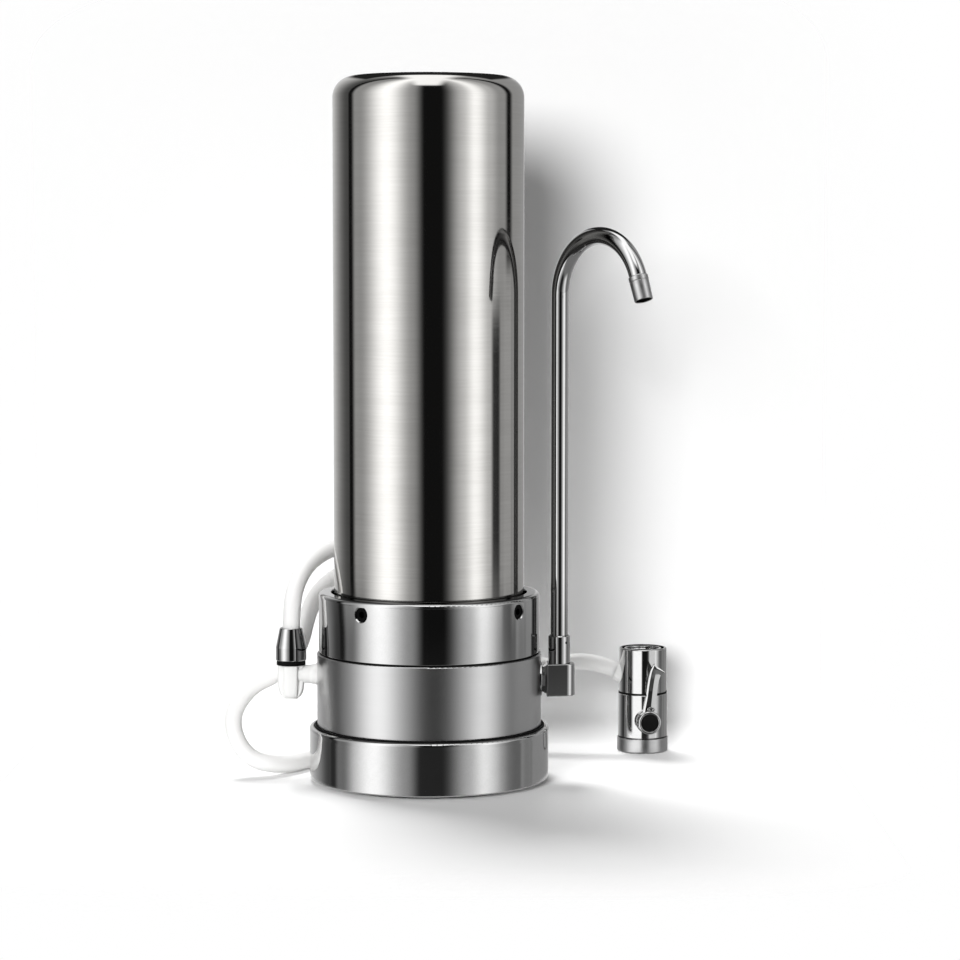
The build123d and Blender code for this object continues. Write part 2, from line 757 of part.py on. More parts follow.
def diverter_head():
    spigot_end = head_bottom - head_spigot_height
    head = turned([(0, spigot_end), (head_spigot_radius, spigot_end), (head_spigot_radius, head_bottom),
                   (head_radius, head_bottom), (head_radius, head_top), (0, head_top)])
    head = fillet(rim(head, head_radius, head_top), head_rim_round)
    head = at_diverter(head)
    boss = rod(port_boss_radius, (0, 0, head_passage), (0, 0, port_boss_reach))
    boss += rod(barb_radius, (0, 0, head_passage), (0, 0, port_boss_reach + port_barb_length))
    head += port_plane().location * boss
    head -= at_diverter(tube(head_socket_radius, 0, head_socket_z, head_top + overrun))
    head -= at_diverter(tube(head_passage, 0, spigot_end - overrun, head_socket_z + overrun))
    return head - port_plane().location * rod(port_bore, (0, 0, 0), (0, 0, port_boss_reach + port_barb_length + overrun))


def faucet_adaptor():
    flange_end = adaptor_bottom + adaptor_flange
    ring = turned([(adaptor_bore, adaptor_bottom), (adaptor_radius, adaptor_bottom), (adaptor_radius, flange_end),
                   (adaptor_neck, flange_end), (adaptor_neck, adaptor_top), (adaptor_bore, adaptor_top)])
    ring = chamfer(rim(ring, adaptor_neck, adaptor_top), adaptor_edge)
    pitch = (adaptor_top - adaptor_bottom) / (adaptor_thread_turns + 1)
    for index in range(adaptor_thread_turns):
        z = adaptor_bottom + pitch * (index + 1)
        half = adaptor_thread_depth
        ring -= turned([(adaptor_bore - half, z - half), (adaptor_bore, z - half),
                        (adaptor_bore + half, z), (adaptor_bore, z + half), (adaptor_bore - half, z + half)])
    return at_diverter(ring)


def adaptor_washer():
    outer = head_socket_radius - fit_gap
    return at_diverter(tube(outer, head_passage, head_socket_z, head_socket_z + washer_thickness))


def hub_plane():
    """The lever's frame: Z runs out along the hub, Y is up."""
    out = Vector(sin(radians(hub_heading)), -cos(radians(hub_heading)), 0)
    side = Vector(cos(radians(hub_heading)), sin(radians(hub_heading)), 0)
    return Plane(origin=(diverter_x, diverter_y, hub_height), x_dir=side, z_dir=out)


def diverter_body():
    spigot_end = valve_bottom - valve_spigot_height
    body = turned([(0, spigot_end), (valve_spigot_radius, spigot_end), (valve_spigot_radius, valve_bottom),
                   (valve_radius, valve_bottom), (valve_radius, valve_top), (0, valve_top)])
    body = chamfer(rim(body, valve_radius, valve_top), valve_edge)
    body = chamfer(rim(body, valve_radius, valve_bottom), valve_edge)
    body = at_diverter(body)
    boss = Pos(0, 0, hub_boss_reach / 2) * Cone(hub_boss_radius + hub_boss_taper, hub_boss_radius, hub_boss_reach)
    body += hub_plane().location * boss
    seat = head_bottom - head_spigot_height - fit_gap
    body -= at_diverter(tube(head_spigot_radius + fit_gap, 0, seat, valve_top + overrun))
    body -= at_diverter(tube(head_passage, 0, spigot_end - overrun, valve_top))
    hole = rod(spindle_hole, (0, 0, -spindle_back - run_gap), (0, 0, hub_boss_reach + overrun))
    return body - hub_plane().location * hole


def valve_spindle():
    shoulder = hub_start - fit_gap
    spindle = rod(spindle_radius, (0, 0, -spindle_back), (0, 0, shoulder))
    spindle += rod(spindle_end_radius, (0, 0, 0), (0, 0, shoulder + spindle_end_length))
    half = spindle_ring_section + fit_gap
    ring_z = hub_boss_reach - spindle_ring_inset
    spindle -= tube(spindle_radius + overrun, spindle_hole - half * 2, ring_z - half, ring_z + half)
    spindle -= rod(passage_radius, (-spindle_radius - overrun, 0, 0), (0, 0, 0))
    spindle -= rod(passage_radius, (0, -spindle_radius - overrun, 0), (0, 0, 0))
    return hub_plane().location * spindle


def spindle_oring():
    ring_z = hub_boss_reach - spindle_ring_inset
    ring = spindle_hole - fit_gap - spindle_ring_section
    return hub_plane().location * torus_at(ring, spindle_ring_section, ring_z)


def lever_side():
    """The blade's side view as radius out from the axis against height above the hub."""
    back = hub_start + lever_back_gap
    waist_z = lever_length * lever_waist_share
    curl_z = lever_length * lever_curl_share
    inner = [(back, lever_root_rise), (back - lever_waist_dip, waist_z), (back, curl_z),
             (back + lever_tip_flare, lever_length)]
    outer = [(x + lever_thickness, z) for x, z in inner]
    outline = Spline(*inner) + Line(inner[-1], outer[-1]) + Spline(*outer[::-1]) + Line(outer[0], inner[0])
    return make_face(outline)


def lever_front():
    """The blade's front view: narrow at the waist, wide and rounded at the tip."""
    waist_z = lever_length * lever_waist_share
    right = [(lever_root_width / 2, 0), (lever_waist_width / 2, waist_z), (lever_tip_width / 2, lever_length)]
    left = [(-x, z) for x, z in right]
    outline = Spline(*right) + Line(right[-1], left[-1]) + Spline(*left[::-1]) + Line(left[0], right[0])
    face = make_face(outline)
    tips = [v for v in face.vertices() if v.Y > waist_z]
    return fillet(tips, lever_tip_round)


def lever():
    hub = rod(hub_radius, (0, 0, hub_start), (0, 0, hub_end))
    hub = fillet(hub.edges().filter_by(GeomType.CIRCLE), hub_edge)
    side_plane = Plane(origin=(0, 0, 0), x_dir=(0, 0, 1), z_dir=(-1, 0, 0))
    blade = extrude(side_plane * lever_side(), amount=lever_tip_width, both=True)
    blade &= extrude(lever_front(), amount=hub_end + lever_tip_flare + overrun)
    lug_end = hub_end - lug_sink
    lug = extrude(Pos(0, lug_rise, hub_start + lever_back_gap) * SlotOverall(lug_width, lug_height),
                  amount=lug_end - hub_start - lever_back_gap)
    eye = SlotOverall(lug_width - lug_wall * 2, lug_height - lug_wall * 2)
    lug -= extrude(Pos(0, lug_rise, lug_end - lug_depth) * eye, amount=lug_depth)
    body = Rot(0, 0, -lever_lean) * (hub + blade + lug)
    body -= rod(lever_cap_radius + fit_gap, (0, 0, hub_end - lever_cap_sink), (0, 0, hub_end + overrun))
    body -= rod(spindle_end_radius + fit_gap / 2, (0, 0, 0), (0, 0, hub_start + spindle_end_length))
    return hub_plane().location * body


def lever_cap():
    bottom = hub_end - lever_cap_sink
    return hub_plane().location * rod(lever_cap_radius, (0, 0, bottom), (0, 0, hub_end - fit_gap))


def aerator_cap():
    cap = turned([(aerator_opening, 0), (aerator_radius, 0), (aerator_radius, aerator_height),
                  (spigot_bore, aerator_height), (spigot_bore, aerator_lip), (aerator_opening, aerator_lip)])
    cap = fillet(rim(cap, aerator_radius, 0), aerator_edge)
    cap = fillet(rim(cap, aerator_radius, aerator_height), valve_edge)
    return at_diverter(cap)


def aerator_screen():
    radius = spigot_bore - fit_gap
    top = aerator_lip + screen_thickness
    screen = tube(radius, 0, aerator_lip, top)
    holes = []
    reach = aerator_opening - screen_pitch / 2
    for place in HexLocations(screen_pitch / 2, 7, 7, major_radius=False):
        if place.position.length < reach:
            holes.append(place * Pos(0, 0, top / 2 + aerator_lip / 2) * Cylinder(screen_hole, overrun))
    return at_diverter(screen - holes)


PIECES = {
    "foot_pad": foot_pad,
    "base_skirt": base_skirt,
    "skirt_seal": skirt_seal,
    "skirt_screws": skirt_screws,
    "base_body": base_body,
    "candle_seal": candle_seal,
    "candle_mount": candle_mount,
    "candle_shell": candle_shell,
    "candle_core": candle_core,
    "dome_seal": dome_seal,
    "dome_shell": dome_shell,
    "collar_ring": collar_ring,
    "collar_screws": collar_screws,
    "collar_washer": collar_washer,
    "outlet_union": outlet_union,
    "union_locknut": union_nut,
    "spout_block": spout_block,
    "spout_sleeve": spout_sleeve,
    "spout_foot": spout_foot,
    "spout_orings": spout_orings,
    "spout_tube": spout_tube,
    "spout_nozzle": spout_nozzle,
    "nozzle_insert": nozzle_insert,
    "inlet_elbow": inlet_elbow,
    "elbow_plug": elbow_plug,
    "inlet_seal": inlet_seal,
    "nut_seal": nut_seal,
    "inlet_nut": inlet_nut,
    "hose": hose,
    "port_nut": port_nut,
    "diverter_head": diverter_head,
    "faucet_adaptor": faucet_adaptor,
    "adaptor_washer": adaptor_washer,
    "diverter_body": diverter_body,
    "valve_spindle": valve_spindle,
    "spindle_oring": spindle_oring,
    "lever": lever,
    "lever_cap": lever_cap,
    "aerator_cap": aerator_cap,
    "aerator_screen": aerator_screen,
}


def main():
    os.makedirs("parts", exist_ok=True)
    for name, make in PIECES.items():
        solid = make()
        export_step(solid, f"parts/{name}.step")
        print(name, len(solid.solids()), round(solid.volume, 1))


main()
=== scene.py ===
"""Countertop water purifier: dressed pieces, finishes, studio and camera.

Sizes are millimetres in the object's own frame, whose origin is the centre of the underside,
with +X to the spout, +Y to the back and +Z up. Meshes are written in metres.
"""
from __future__ import annotations

import json
import logging
from dataclasses import dataclass
from enum import Enum
from math import asin, cos, pi, radians, sin, sqrt
from typing import Any, Dict, List, Mapping, Optional, Sequence, Tuple, Union

import bmesh
import bpy
import numpy as np
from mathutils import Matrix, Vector

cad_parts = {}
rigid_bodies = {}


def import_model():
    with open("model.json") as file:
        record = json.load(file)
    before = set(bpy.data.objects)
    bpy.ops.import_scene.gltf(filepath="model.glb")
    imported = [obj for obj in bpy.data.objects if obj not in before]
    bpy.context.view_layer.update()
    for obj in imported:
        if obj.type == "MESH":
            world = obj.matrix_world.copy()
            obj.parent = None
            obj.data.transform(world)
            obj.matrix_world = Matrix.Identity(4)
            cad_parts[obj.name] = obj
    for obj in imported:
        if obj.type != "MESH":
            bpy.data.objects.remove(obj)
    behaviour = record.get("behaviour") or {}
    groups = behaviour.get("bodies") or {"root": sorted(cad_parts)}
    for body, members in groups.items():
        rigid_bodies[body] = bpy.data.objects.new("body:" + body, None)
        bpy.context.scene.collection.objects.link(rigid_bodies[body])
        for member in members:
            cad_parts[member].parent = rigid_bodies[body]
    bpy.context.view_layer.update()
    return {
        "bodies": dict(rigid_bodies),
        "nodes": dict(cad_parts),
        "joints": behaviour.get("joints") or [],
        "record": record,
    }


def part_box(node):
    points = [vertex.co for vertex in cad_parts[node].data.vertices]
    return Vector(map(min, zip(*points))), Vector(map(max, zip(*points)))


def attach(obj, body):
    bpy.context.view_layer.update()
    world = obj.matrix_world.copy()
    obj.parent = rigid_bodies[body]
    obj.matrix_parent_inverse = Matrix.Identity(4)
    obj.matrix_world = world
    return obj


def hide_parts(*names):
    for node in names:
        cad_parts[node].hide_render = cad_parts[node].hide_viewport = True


Colour = Tuple[float, float, float]
Corner = Tuple[float, float, float]
Triple = Tuple[float, float, float]
Pair = Tuple[float, float]
Edges = Tuple[float, float, float, float]

LOG = logging.getLogger("purifier")
MM = 0.001
UP = np.array([0.0, 0.0, 1.0])
WHITE = (1.0, 1.0, 1.0, 1.0)

# Edge rounds that the turned profiles share
PLAIN = 0.0
CRISP = 0.1
EASED = 0.2
SOFT = 0.3

# How far a profile's guard points stand from an arc, as a share of its cut
GUARD_SHARE = 0.2

# Points closer than the first are one point, and edges shorter than the second go, in metres
MERGE_GAP = 1e-8
SHORTEST_EDGE = 1e-9


@dataclass(frozen=True)
class Signal:
    """One output socket, with arithmetic that adds Math nodes to its graph."""

    graph: Graph
    socket: bpy.types.NodeSocket

    def __add__(self, other: Value) -> Signal:
        """Sum with a signal or a number."""
        return self.graph.math("ADD", self, other)

    def __radd__(self, other: Value) -> Signal:
        """Sum with a number on the left."""
        return self.graph.math("ADD", other, self)

    def __sub__(self, other: Value) -> Signal:
        """Difference."""
        return self.graph.math("SUBTRACT", self, other)

    def __rsub__(self, other: Value) -> Signal:
        """Difference from a number on the left."""
        return self.graph.math("SUBTRACT", other, self)

    def __mul__(self, other: Value) -> Signal:
        """Product."""
        return self.graph.math("MULTIPLY", self, other)

    def __rmul__(self, other: Value) -> Signal:
        """Product with a number on the left."""
        return self.graph.math("MULTIPLY", other, self)

    def __truediv__(self, other: Value) -> Signal:
        """Quotient."""
        return self.graph.math("DIVIDE", self, other)

    def __rtruediv__(self, other: Value) -> Signal:
        """Quotient with a number on top."""
        return self.graph.math("DIVIDE", other, self)

    def __neg__(self) -> Signal:
        """The signal with its sign turned."""
        return self.graph.math("MULTIPLY", self, -1.0)


Value = Union[Signal, float]


class Graph:
    """Adds nodes to one node tree, which it empties first."""

    def __init__(self, tree: bpy.types.NodeTree) -> None:
        """Takes over the node tree of a material or of the world."""
        self.tree = tree
        tree.nodes.clear()

    def node(self, kind: str, settings: Optional[Mapping[str, Any]] = None,
             inputs: Optional[Mapping[Any, Any]] = None) -> bpy.types.Node:
        """Adds any node.

        Args:
            kind: the node's type.
            settings: its own settings, set first.
            inputs: socket names or numbers, with a constant or a Signal for each.

        Returns:
            The new node.
        """
        made = self.tree.nodes.new(kind)
        for name, value in (settings or {}).items():
            setattr(made, name, value)
        for key, value in (inputs or {}).items():
            if isinstance(value, Signal):
                self.tree.links.new(value.socket, made.inputs[key])
            else:
                made.inputs[key].default_value = value
        return made

    def out(self, node: bpy.types.Node, key: Union[int, str] = 0) -> Signal:
        """An output of a node as a Signal."""
        return Signal(self, node.outputs[key])

    def math(self, operation: str, *values: Value) -> Signal:
        """A Math node on one, two or three values."""
        return self.out(self.node("ShaderNodeMath", {"operation": operation}, dict(enumerate(values))))

    def axes(self, vector: Signal) -> Tuple[Signal, Signal, Signal]:
        """The three parts of a vector."""
        parts = self.node("ShaderNodeSeparateXYZ", inputs={0: vector})
        return self.out(parts, 0), self.out(parts, 1), self.out(parts, 2)

    def vector(self, x: Value, y: Value, z: Value) -> Signal:
        """A vector from three parts."""
        return self.out(self.node("ShaderNodeCombineXYZ", inputs={0: x, 1: y, 2: z}))

    def place(self, output: str = "Object") -> Signal:
        """A point of the surface in the piece's own coordinates, or a direction in the world."""
        return self.out(self.node("ShaderNodeTexCoord"), output)

    def noise(self, vector: Signal, scale: float, detail: float = 2.0) -> Signal:
        """Soft noise from 0 to 1 about 0.5."""
        return self.out(self.node("ShaderNodeTexNoise",
                                  inputs={"Vector": vector, "Scale": scale, "Detail": detail}))

    def cells(self, vector: Signal, scale: float) -> Signal:
        """Distance to the middle of the nearest grain."""
        return self.out(self.node("ShaderNodeTexVoronoi", inputs={"Vector": vector, "Scale": scale}))

    def step(self, value: Signal, low: float, high: float) -> Signal:
        """A smooth step from 0 at low to 1 at high."""
        return self.out(self.node("ShaderNodeMapRange", {"interpolation_type": "SMOOTHSTEP"},
                                  {"Value": value, "From Min": low, "From Max": high}))

    def window(self, value: Signal, edges: Sequence[float]) -> Signal:
        """1 between the middle two of four rising edges, easing to 0 at the outer two."""
        return self.step(value, edges[0], edges[1]) * (1.0 - self.step(value, edges[2], edges[3]))

    def mix(self, first: Value, second: Value, factor: Signal) -> Signal:
        """A value that goes from the first at factor 0 to the second at factor 1."""
        return (1.0 - factor) * first + factor * second

    def blend(self, factor: Value, first: Colour, second: Colour) -> Signal:
        """A colour between two colours."""
        return self.out(self.node("ShaderNodeMix", {"data_type": "RGBA"},
                                  {0: factor, 6: (*first, 1.0), 7: (*second, 1.0)}), 2)

    def bump(self, height: Signal, depth: float) -> Signal:
        """A normal from a height that varies by the depth, in metres."""
        return self.out(self.node("ShaderNodeBump",
                                  inputs={"Strength": 1.0, "Distance": depth, "Height": height}))

    def rays(self) -> Tuple[Signal, Signal, Signal]:
        """What kind of ray asks.

        Returns:
            1 for the camera's own rays, 1 for rays from a mirror or through glass, and how many
            mirrors a ray has met.
        """
        path = self.node("ShaderNodeLightPath")
        glossy = self.out(path, "Is Glossy Ray")
        mirror = self.math("MAXIMUM", glossy, self.out(path, "Is Transmission Ray"))
        return self.out(path, "Is Camera Ray"), mirror, self.out(path, "Glossy Depth")

    def cut_out(self, shader: bpy.types.Node, shown: Signal) -> None:
        """Ends a material that is clear in places.

        Args:
            shader: the shader where it isn't clear.
            shown: 1 where the shader shows, 0 where the material is clear.
        """
        clear = self.node("ShaderNodeBsdfTransparent")
        mixed = self.node("ShaderNodeMixShader", inputs={0: shown, 1: self.out(clear), 2: self.out(shader)})
        self.node("ShaderNodeOutputMaterial", inputs={"Surface": self.out(mixed)})


def new_material(name: str) -> Tuple[bpy.types.Material, Graph]:
    """A new material and its empty graph.

    Args:
        name: the material's name.

    Returns:
        The material and the graph of its node tree.
    """
    made = bpy.data.materials.new(name)
    made.use_nodes = True
    return made, Graph(made.node_tree)


def new_object(name: str, data: Any) -> bpy.types.Object:
    """An object at the origin, in the scene.

    Args:
        name: the object's name.
        data: its mesh, curve, light or camera.

    Returns:
        The new object.
    """
    made = bpy.data.objects.new(name, data)
    bpy.context.scene.collection.objects.link(made)
    return made


class Grain(Enum):
    """How far a metal's fine lines are drawn out along X, Y and Z."""

    ROUND = (22.0, 22.0, 1.0)
    EVEN = (1.0, 1.0, 1.0)


@dataclass(frozen=True)
class Finish:
    """A surface finish with a procedural material."""

    name: str

    def sockets(self, graph: Graph, place: Signal) -> Dict[str, Any]:
        """What the shader's sockets hold, by name: constants or signals."""
        raise NotImplementedError

    def material(self) -> bpy.types.Material:
        """Builds the material.

        Returns:
            A new material with one Principled shader.
        """
        made, graph = new_material(self.name)
        shader = graph.node("ShaderNodeBsdfPrincipled", inputs=self.sockets(graph, graph.place()))
        graph.node("ShaderNodeOutputMaterial", inputs={"Surface": graph.out(shader)})
        return made


@dataclass(frozen=True)
class Metal(Finish):
    """Bare or plated metal with fine lines, faint handling marks and a slow tint."""

    colour: Colour
    dull: Colour
    roughness: float
    grain: Grain = Grain.EVEN
    grain_share: float = 0.25
    lines: float = 1400.0
    line_depth: float = 4e-7
    coarse_ratio: float = 6.0
    fine_share: float = 0.6
    line_levels: Pair = (0.32, 0.68)
    line_tint: float = 0.5
    marks: float = 0.03
    mark_scale: float = 38.0
    mark_levels: Pair = (0.45, 0.75)
    mark_tint: float = 0.3

    def sockets(self, graph: Graph, place: Signal) -> Dict[str, Any]:
        """Lines are noise drawn out by the grain; marks are broad noise that dulls in patches.

        Args:
            graph: the material's graph.
            place: object coordinates.

        Returns:
            Socket names with constants or signals.
        """
        parts = [part / stretch for part, stretch in zip(graph.axes(place), self.grain.value)]
        drawn = graph.vector(*parts)
        fine = graph.noise(drawn, self.lines, detail=3.0)
        coarse = graph.noise(drawn, self.lines / self.coarse_ratio)
        lines = graph.step(fine * self.fine_share + coarse * (1 - self.fine_share), *self.line_levels)
        marks = graph.step(graph.noise(place, self.mark_scale, detail=4.0), *self.mark_levels)
        worn = lines * self.line_tint + marks * self.mark_tint
        spread = self.roughness * self.grain_share
        return {
            "Base Color": graph.blend(worn, self.colour, self.dull),
            "Roughness": lines * spread + (self.roughness - spread / 2) + marks * self.marks,
            "Metallic": 1.0,
            "Normal": graph.bump(lines, self.line_depth),
        }


@dataclass(frozen=True)
class Moulding(Finish):
    """Moulded plastic: a slow change of tint, a satin skin and a fine ripple."""

    colour: Colour
    shade: Colour
    roughness: float
    ripple: float = 1.5e-5
    ripple_scale: float = 420.0
    ripple_spread: float = 0.12
    tint_scale: float = 55.0
    tint_levels: Pair = (0.3, 0.7)
    gloss: float = 0.5
    soft: float = 0.0
    soft_depth: float = 0.004

    def sockets(self, graph: Graph, place: Signal) -> Dict[str, Any]:
        """Tint from broad noise; roughness and height from fine noise.

        Args:
            graph: the material's graph.
            place: object coordinates.

        Returns:
            Socket names with constants or signals.
        """
        tint = graph.step(graph.noise(place, self.tint_scale, detail=3.0), *self.tint_levels)
        fine = graph.noise(place, self.ripple_scale)
        return {
            "Base Color": graph.blend(tint, self.colour, self.shade),
            "Roughness": fine * self.ripple_spread + (self.roughness - self.ripple_spread / 2),
            "Specular IOR Level": self.gloss,
            "Subsurface Weight": self.soft,
            "Subsurface Radius": (1.0, 1.0, 1.0),
            "Subsurface Scale": self.soft_depth,
            "Normal": graph.bump(fine, self.ripple),
        }


@dataclass(frozen=True)
class Granular(Finish):
    """Pressed or fired grains: ceramic, carbon block and moulded rubber."""

    colour: Colour
    speck: Colour
    roughness: float
    grain_size: float
    relief: float
    gloss: float = 0.5
    grain_spread: float = 0.15
    grain_middle: float = 0.07
    specks_per_grain: float = 0.4
    speck_levels: Pair = (0.56, 0.72)

    def sockets(self, graph: Graph, place: Signal) -> Dict[str, Any]:
        """Grains are cells one grain size apart; specks are where fine noise is high.

        Args:
            graph: the material's graph.
            place: object coordinates.

        Returns:
            Socket names with constants or signals.
        """
        grains = graph.cells(place, 1.0 / self.grain_size)
        fine = graph.noise(place, self.specks_per_grain / self.grain_size, detail=3.0)
        return {
            "Base Color": graph.blend(graph.step(fine, *self.speck_levels), self.colour, self.speck),
            "Roughness": grains * self.grain_spread + (self.roughness - self.grain_middle),
            "Specular IOR Level": self.gloss,
            "Normal": graph.bump(grains, self.relief),
        }


def grey(level: float) -> Colour:
    """A neutral colour."""
    return level, level, level


FINISHES: Tuple[Finish, ...] = (
    Metal("brushed_dome", (0.66, 0.65, 0.63), (0.58, 0.57, 0.55), roughness=0.06, grain=Grain.ROUND,
          grain_share=0.6, lines=900.0, line_depth=2.5e-7, marks=0.02),
    Metal("chrome", grey(0.66), (0.60, 0.60, 0.595), roughness=0.05, marks=0.02),
    Metal("satin_body", grey(0.66), grey(0.635), roughness=0.285, grain=Grain.ROUND, grain_share=0.04,
          lines=1100.0, line_depth=1e-8, marks=0.01),
    Metal("satin_chrome", grey(0.60), grey(0.54), roughness=0.33, grain=Grain.ROUND, grain_share=0.3,
          lines=1100.0, line_depth=6e-7),
    Metal("steel", grey(0.56), grey(0.44), roughness=0.34),
    Metal("black_steel", grey(0.005), grey(0.009), roughness=0.38),
    Metal("brass", (0.78, 0.58, 0.27), (0.62, 0.44, 0.19), roughness=0.26, grain=Grain.ROUND,
          grain_share=0.4),
    Granular("black_rubber", grey(0.004), grey(0.009), roughness=0.6, grain_size=0.0004, relief=1e-5,
             gloss=0.1),
    Moulding("black_plastic", grey(0.004), grey(0.007), roughness=0.4, gloss=0.08),
    Moulding("white_plastic", (0.86, 0.86, 0.85), (0.82, 0.82, 0.81), roughness=0.36, soft=0.4,
             soft_depth=0.002),
    Moulding("white_hose", (0.92, 0.915, 0.905), (0.89, 0.885, 0.875), roughness=0.44, ripple=1e-5,
             ripple_scale=260.0, soft=0.8, soft_depth=0.006),
    Granular("ceramic", (0.84, 0.83, 0.79), (0.76, 0.74, 0.69), roughness=0.82, grain_size=0.0005,
             relief=3e-5),
    Granular("carbon", (0.016, 0.016, 0.017), grey(0.04), roughness=0.68, grain_size=0.0007, relief=5e-5),
)


def unit(vectors: np.ndarray) -> np.ndarray:
    """Vectors of length one along the last axis."""
    return vectors / np.linalg.norm(vectors, axis=-1, keepdims=True)


def ramp(share: np.ndarray, start: float) -> np.ndarray:
    """0 up to the start, then rising evenly to 1 at a share of 1."""
    return np.clip((share - start) / (1 - start), 0.0, 1.0)


def circle(sides: int) -> np.ndarray:
    """Evenly spaced angles of a full turn, in radians."""
    return np.linspace(0.0, 2 * pi, sides, endpoint=False)


def rounded(corners: Sequence[Corner], closed: bool = True, steps: int = 6) -> np.ndarray:
    """A turned profile with rounded corners.

    A corner is cut back along both sides by its round over the tangent of half its angle, and an
    arc about the point where both sides are one round away joins the cuts. A guard point beyond
    each cut keeps the flats flat when the mesh is smoothed.

    Args:
        corners: (radius, height, round) of each corner in order.
        closed: whether the last corner joins the first; if not, the two ends stay plain.
        steps: arc steps for each corner.

    Returns:
        Rows of (radius, height).
    """
    given = np.array(corners, dtype=float)
    here = given if closed else given[1:-1]
    before = np.roll(given, 1, axis=0) if closed else given[:-2]
    after = np.roll(given, -1, axis=0) if closed else given[2:]
    back = unit(before[:, :2] - here[:, :2])
    ahead = unit(after[:, :2] - here[:, :2])
    half = np.arccos(np.clip((back * ahead).sum(-1), -1.0, 1.0))[:, None] / 2
    size = here[:, 2:]
    cut = size / np.tan(half)
    centre = here[:, :2] + unit(back + ahead) * size / np.sin(half)
    first = here[:, :2] + back * cut
    last = here[:, :2] + ahead * cut
    share = np.linspace(0.0, 1.0, steps + 1)[None, :, None]
    sweep = (pi - 2 * half)[:, None, :]
    leaving = np.sin((1 - share) * sweep) * (first - centre)[:, None]
    joining = np.sin(share * sweep) * (last - centre)[:, None]
    arc = centre[:, None] + (leaving + joining) / np.sin(sweep)
    guard = cut * GUARD_SHARE
    points = np.concatenate([(first + back * guard)[:, None], arc, (last + ahead * guard)[:, None]], axis=1)
    points = points.reshape(-1, 2)
    return points if closed else np.concatenate([given[:1, :2], points, given[-1:, :2]])


def lathe(profile: np.ndarray, sides: int) -> np.ndarray:
    """Turns a profile about Z: each (radius, height) becomes a ring.

    Args:
        profile: rows of (radius, height).
        sides: points in each ring.

    Returns:
        A grid of points, rings by sides.
    """
    turn = circle(sides)
    ring = np.stack([np.cos(turn), np.sin(turn), np.zeros(sides)], axis=-1)
    return profile[:, None, :1] * ring + profile[:, None, 1:] * UP


@dataclass(frozen=True)
class Axes:
    """A frame for a piece: where its origin is and which way its X and Z point."""

    origin: Triple = (0.0, 0.0, 0.0)
    across: Triple = (1.0, 0.0, 0.0)
    along: Triple = (0.0, 0.0, 1.0)

    def place(self, points: np.ndarray) -> np.ndarray:
        """Moves local points into the object's frame.

        Args:
            points: local points, on the last axis of any grid.

        Returns:
            The same grid in the object's frame.
        """
        z = unit(np.array(self.along))
        y = unit(np.cross(z, np.array(self.across)))
        x = np.cross(y, z)
        return np.array(self.origin) + points @ np.stack([x, y, z])


@dataclass
class Skin:
    """A grid of rings, rows by columns; columns always close, rows where it is a loop."""

    grid: np.ndarray
    loop: bool = False

    def capped(self) -> np.ndarray:
        """Closes the open ends.

        Returns:
            The grid with a pole row at each open end, at the middle of the end ring.
        """
        if self.loop:
            return self.grid
        ends = [np.broadcast_to(row.mean(axis=0), row.shape)[None] for row in (self.grid[0], self.grid[-1])]
        return np.concatenate([ends[0], self.grid, ends[1]])

    def faces(self, rows: int) -> np.ndarray:
        """Four corner numbers for each face, row by row.

        Args:
            rows: how many rows the capped grid has.

        Returns:
            An array of quads.
        """
        columns = self.grid.shape[1]
        row = np.arange(rows if self.loop else rows - 1)[:, None]
        column = np.arange(columns)[None, :]
        following = (row + 1) % rows
        beside = (column + 1) % columns
        corners = [row * columns + column, row * columns + beside,
                   following * columns + beside, following * columns + column]
        return np.stack(np.broadcast_arrays(*corners), axis=-1).reshape(-1, 4)


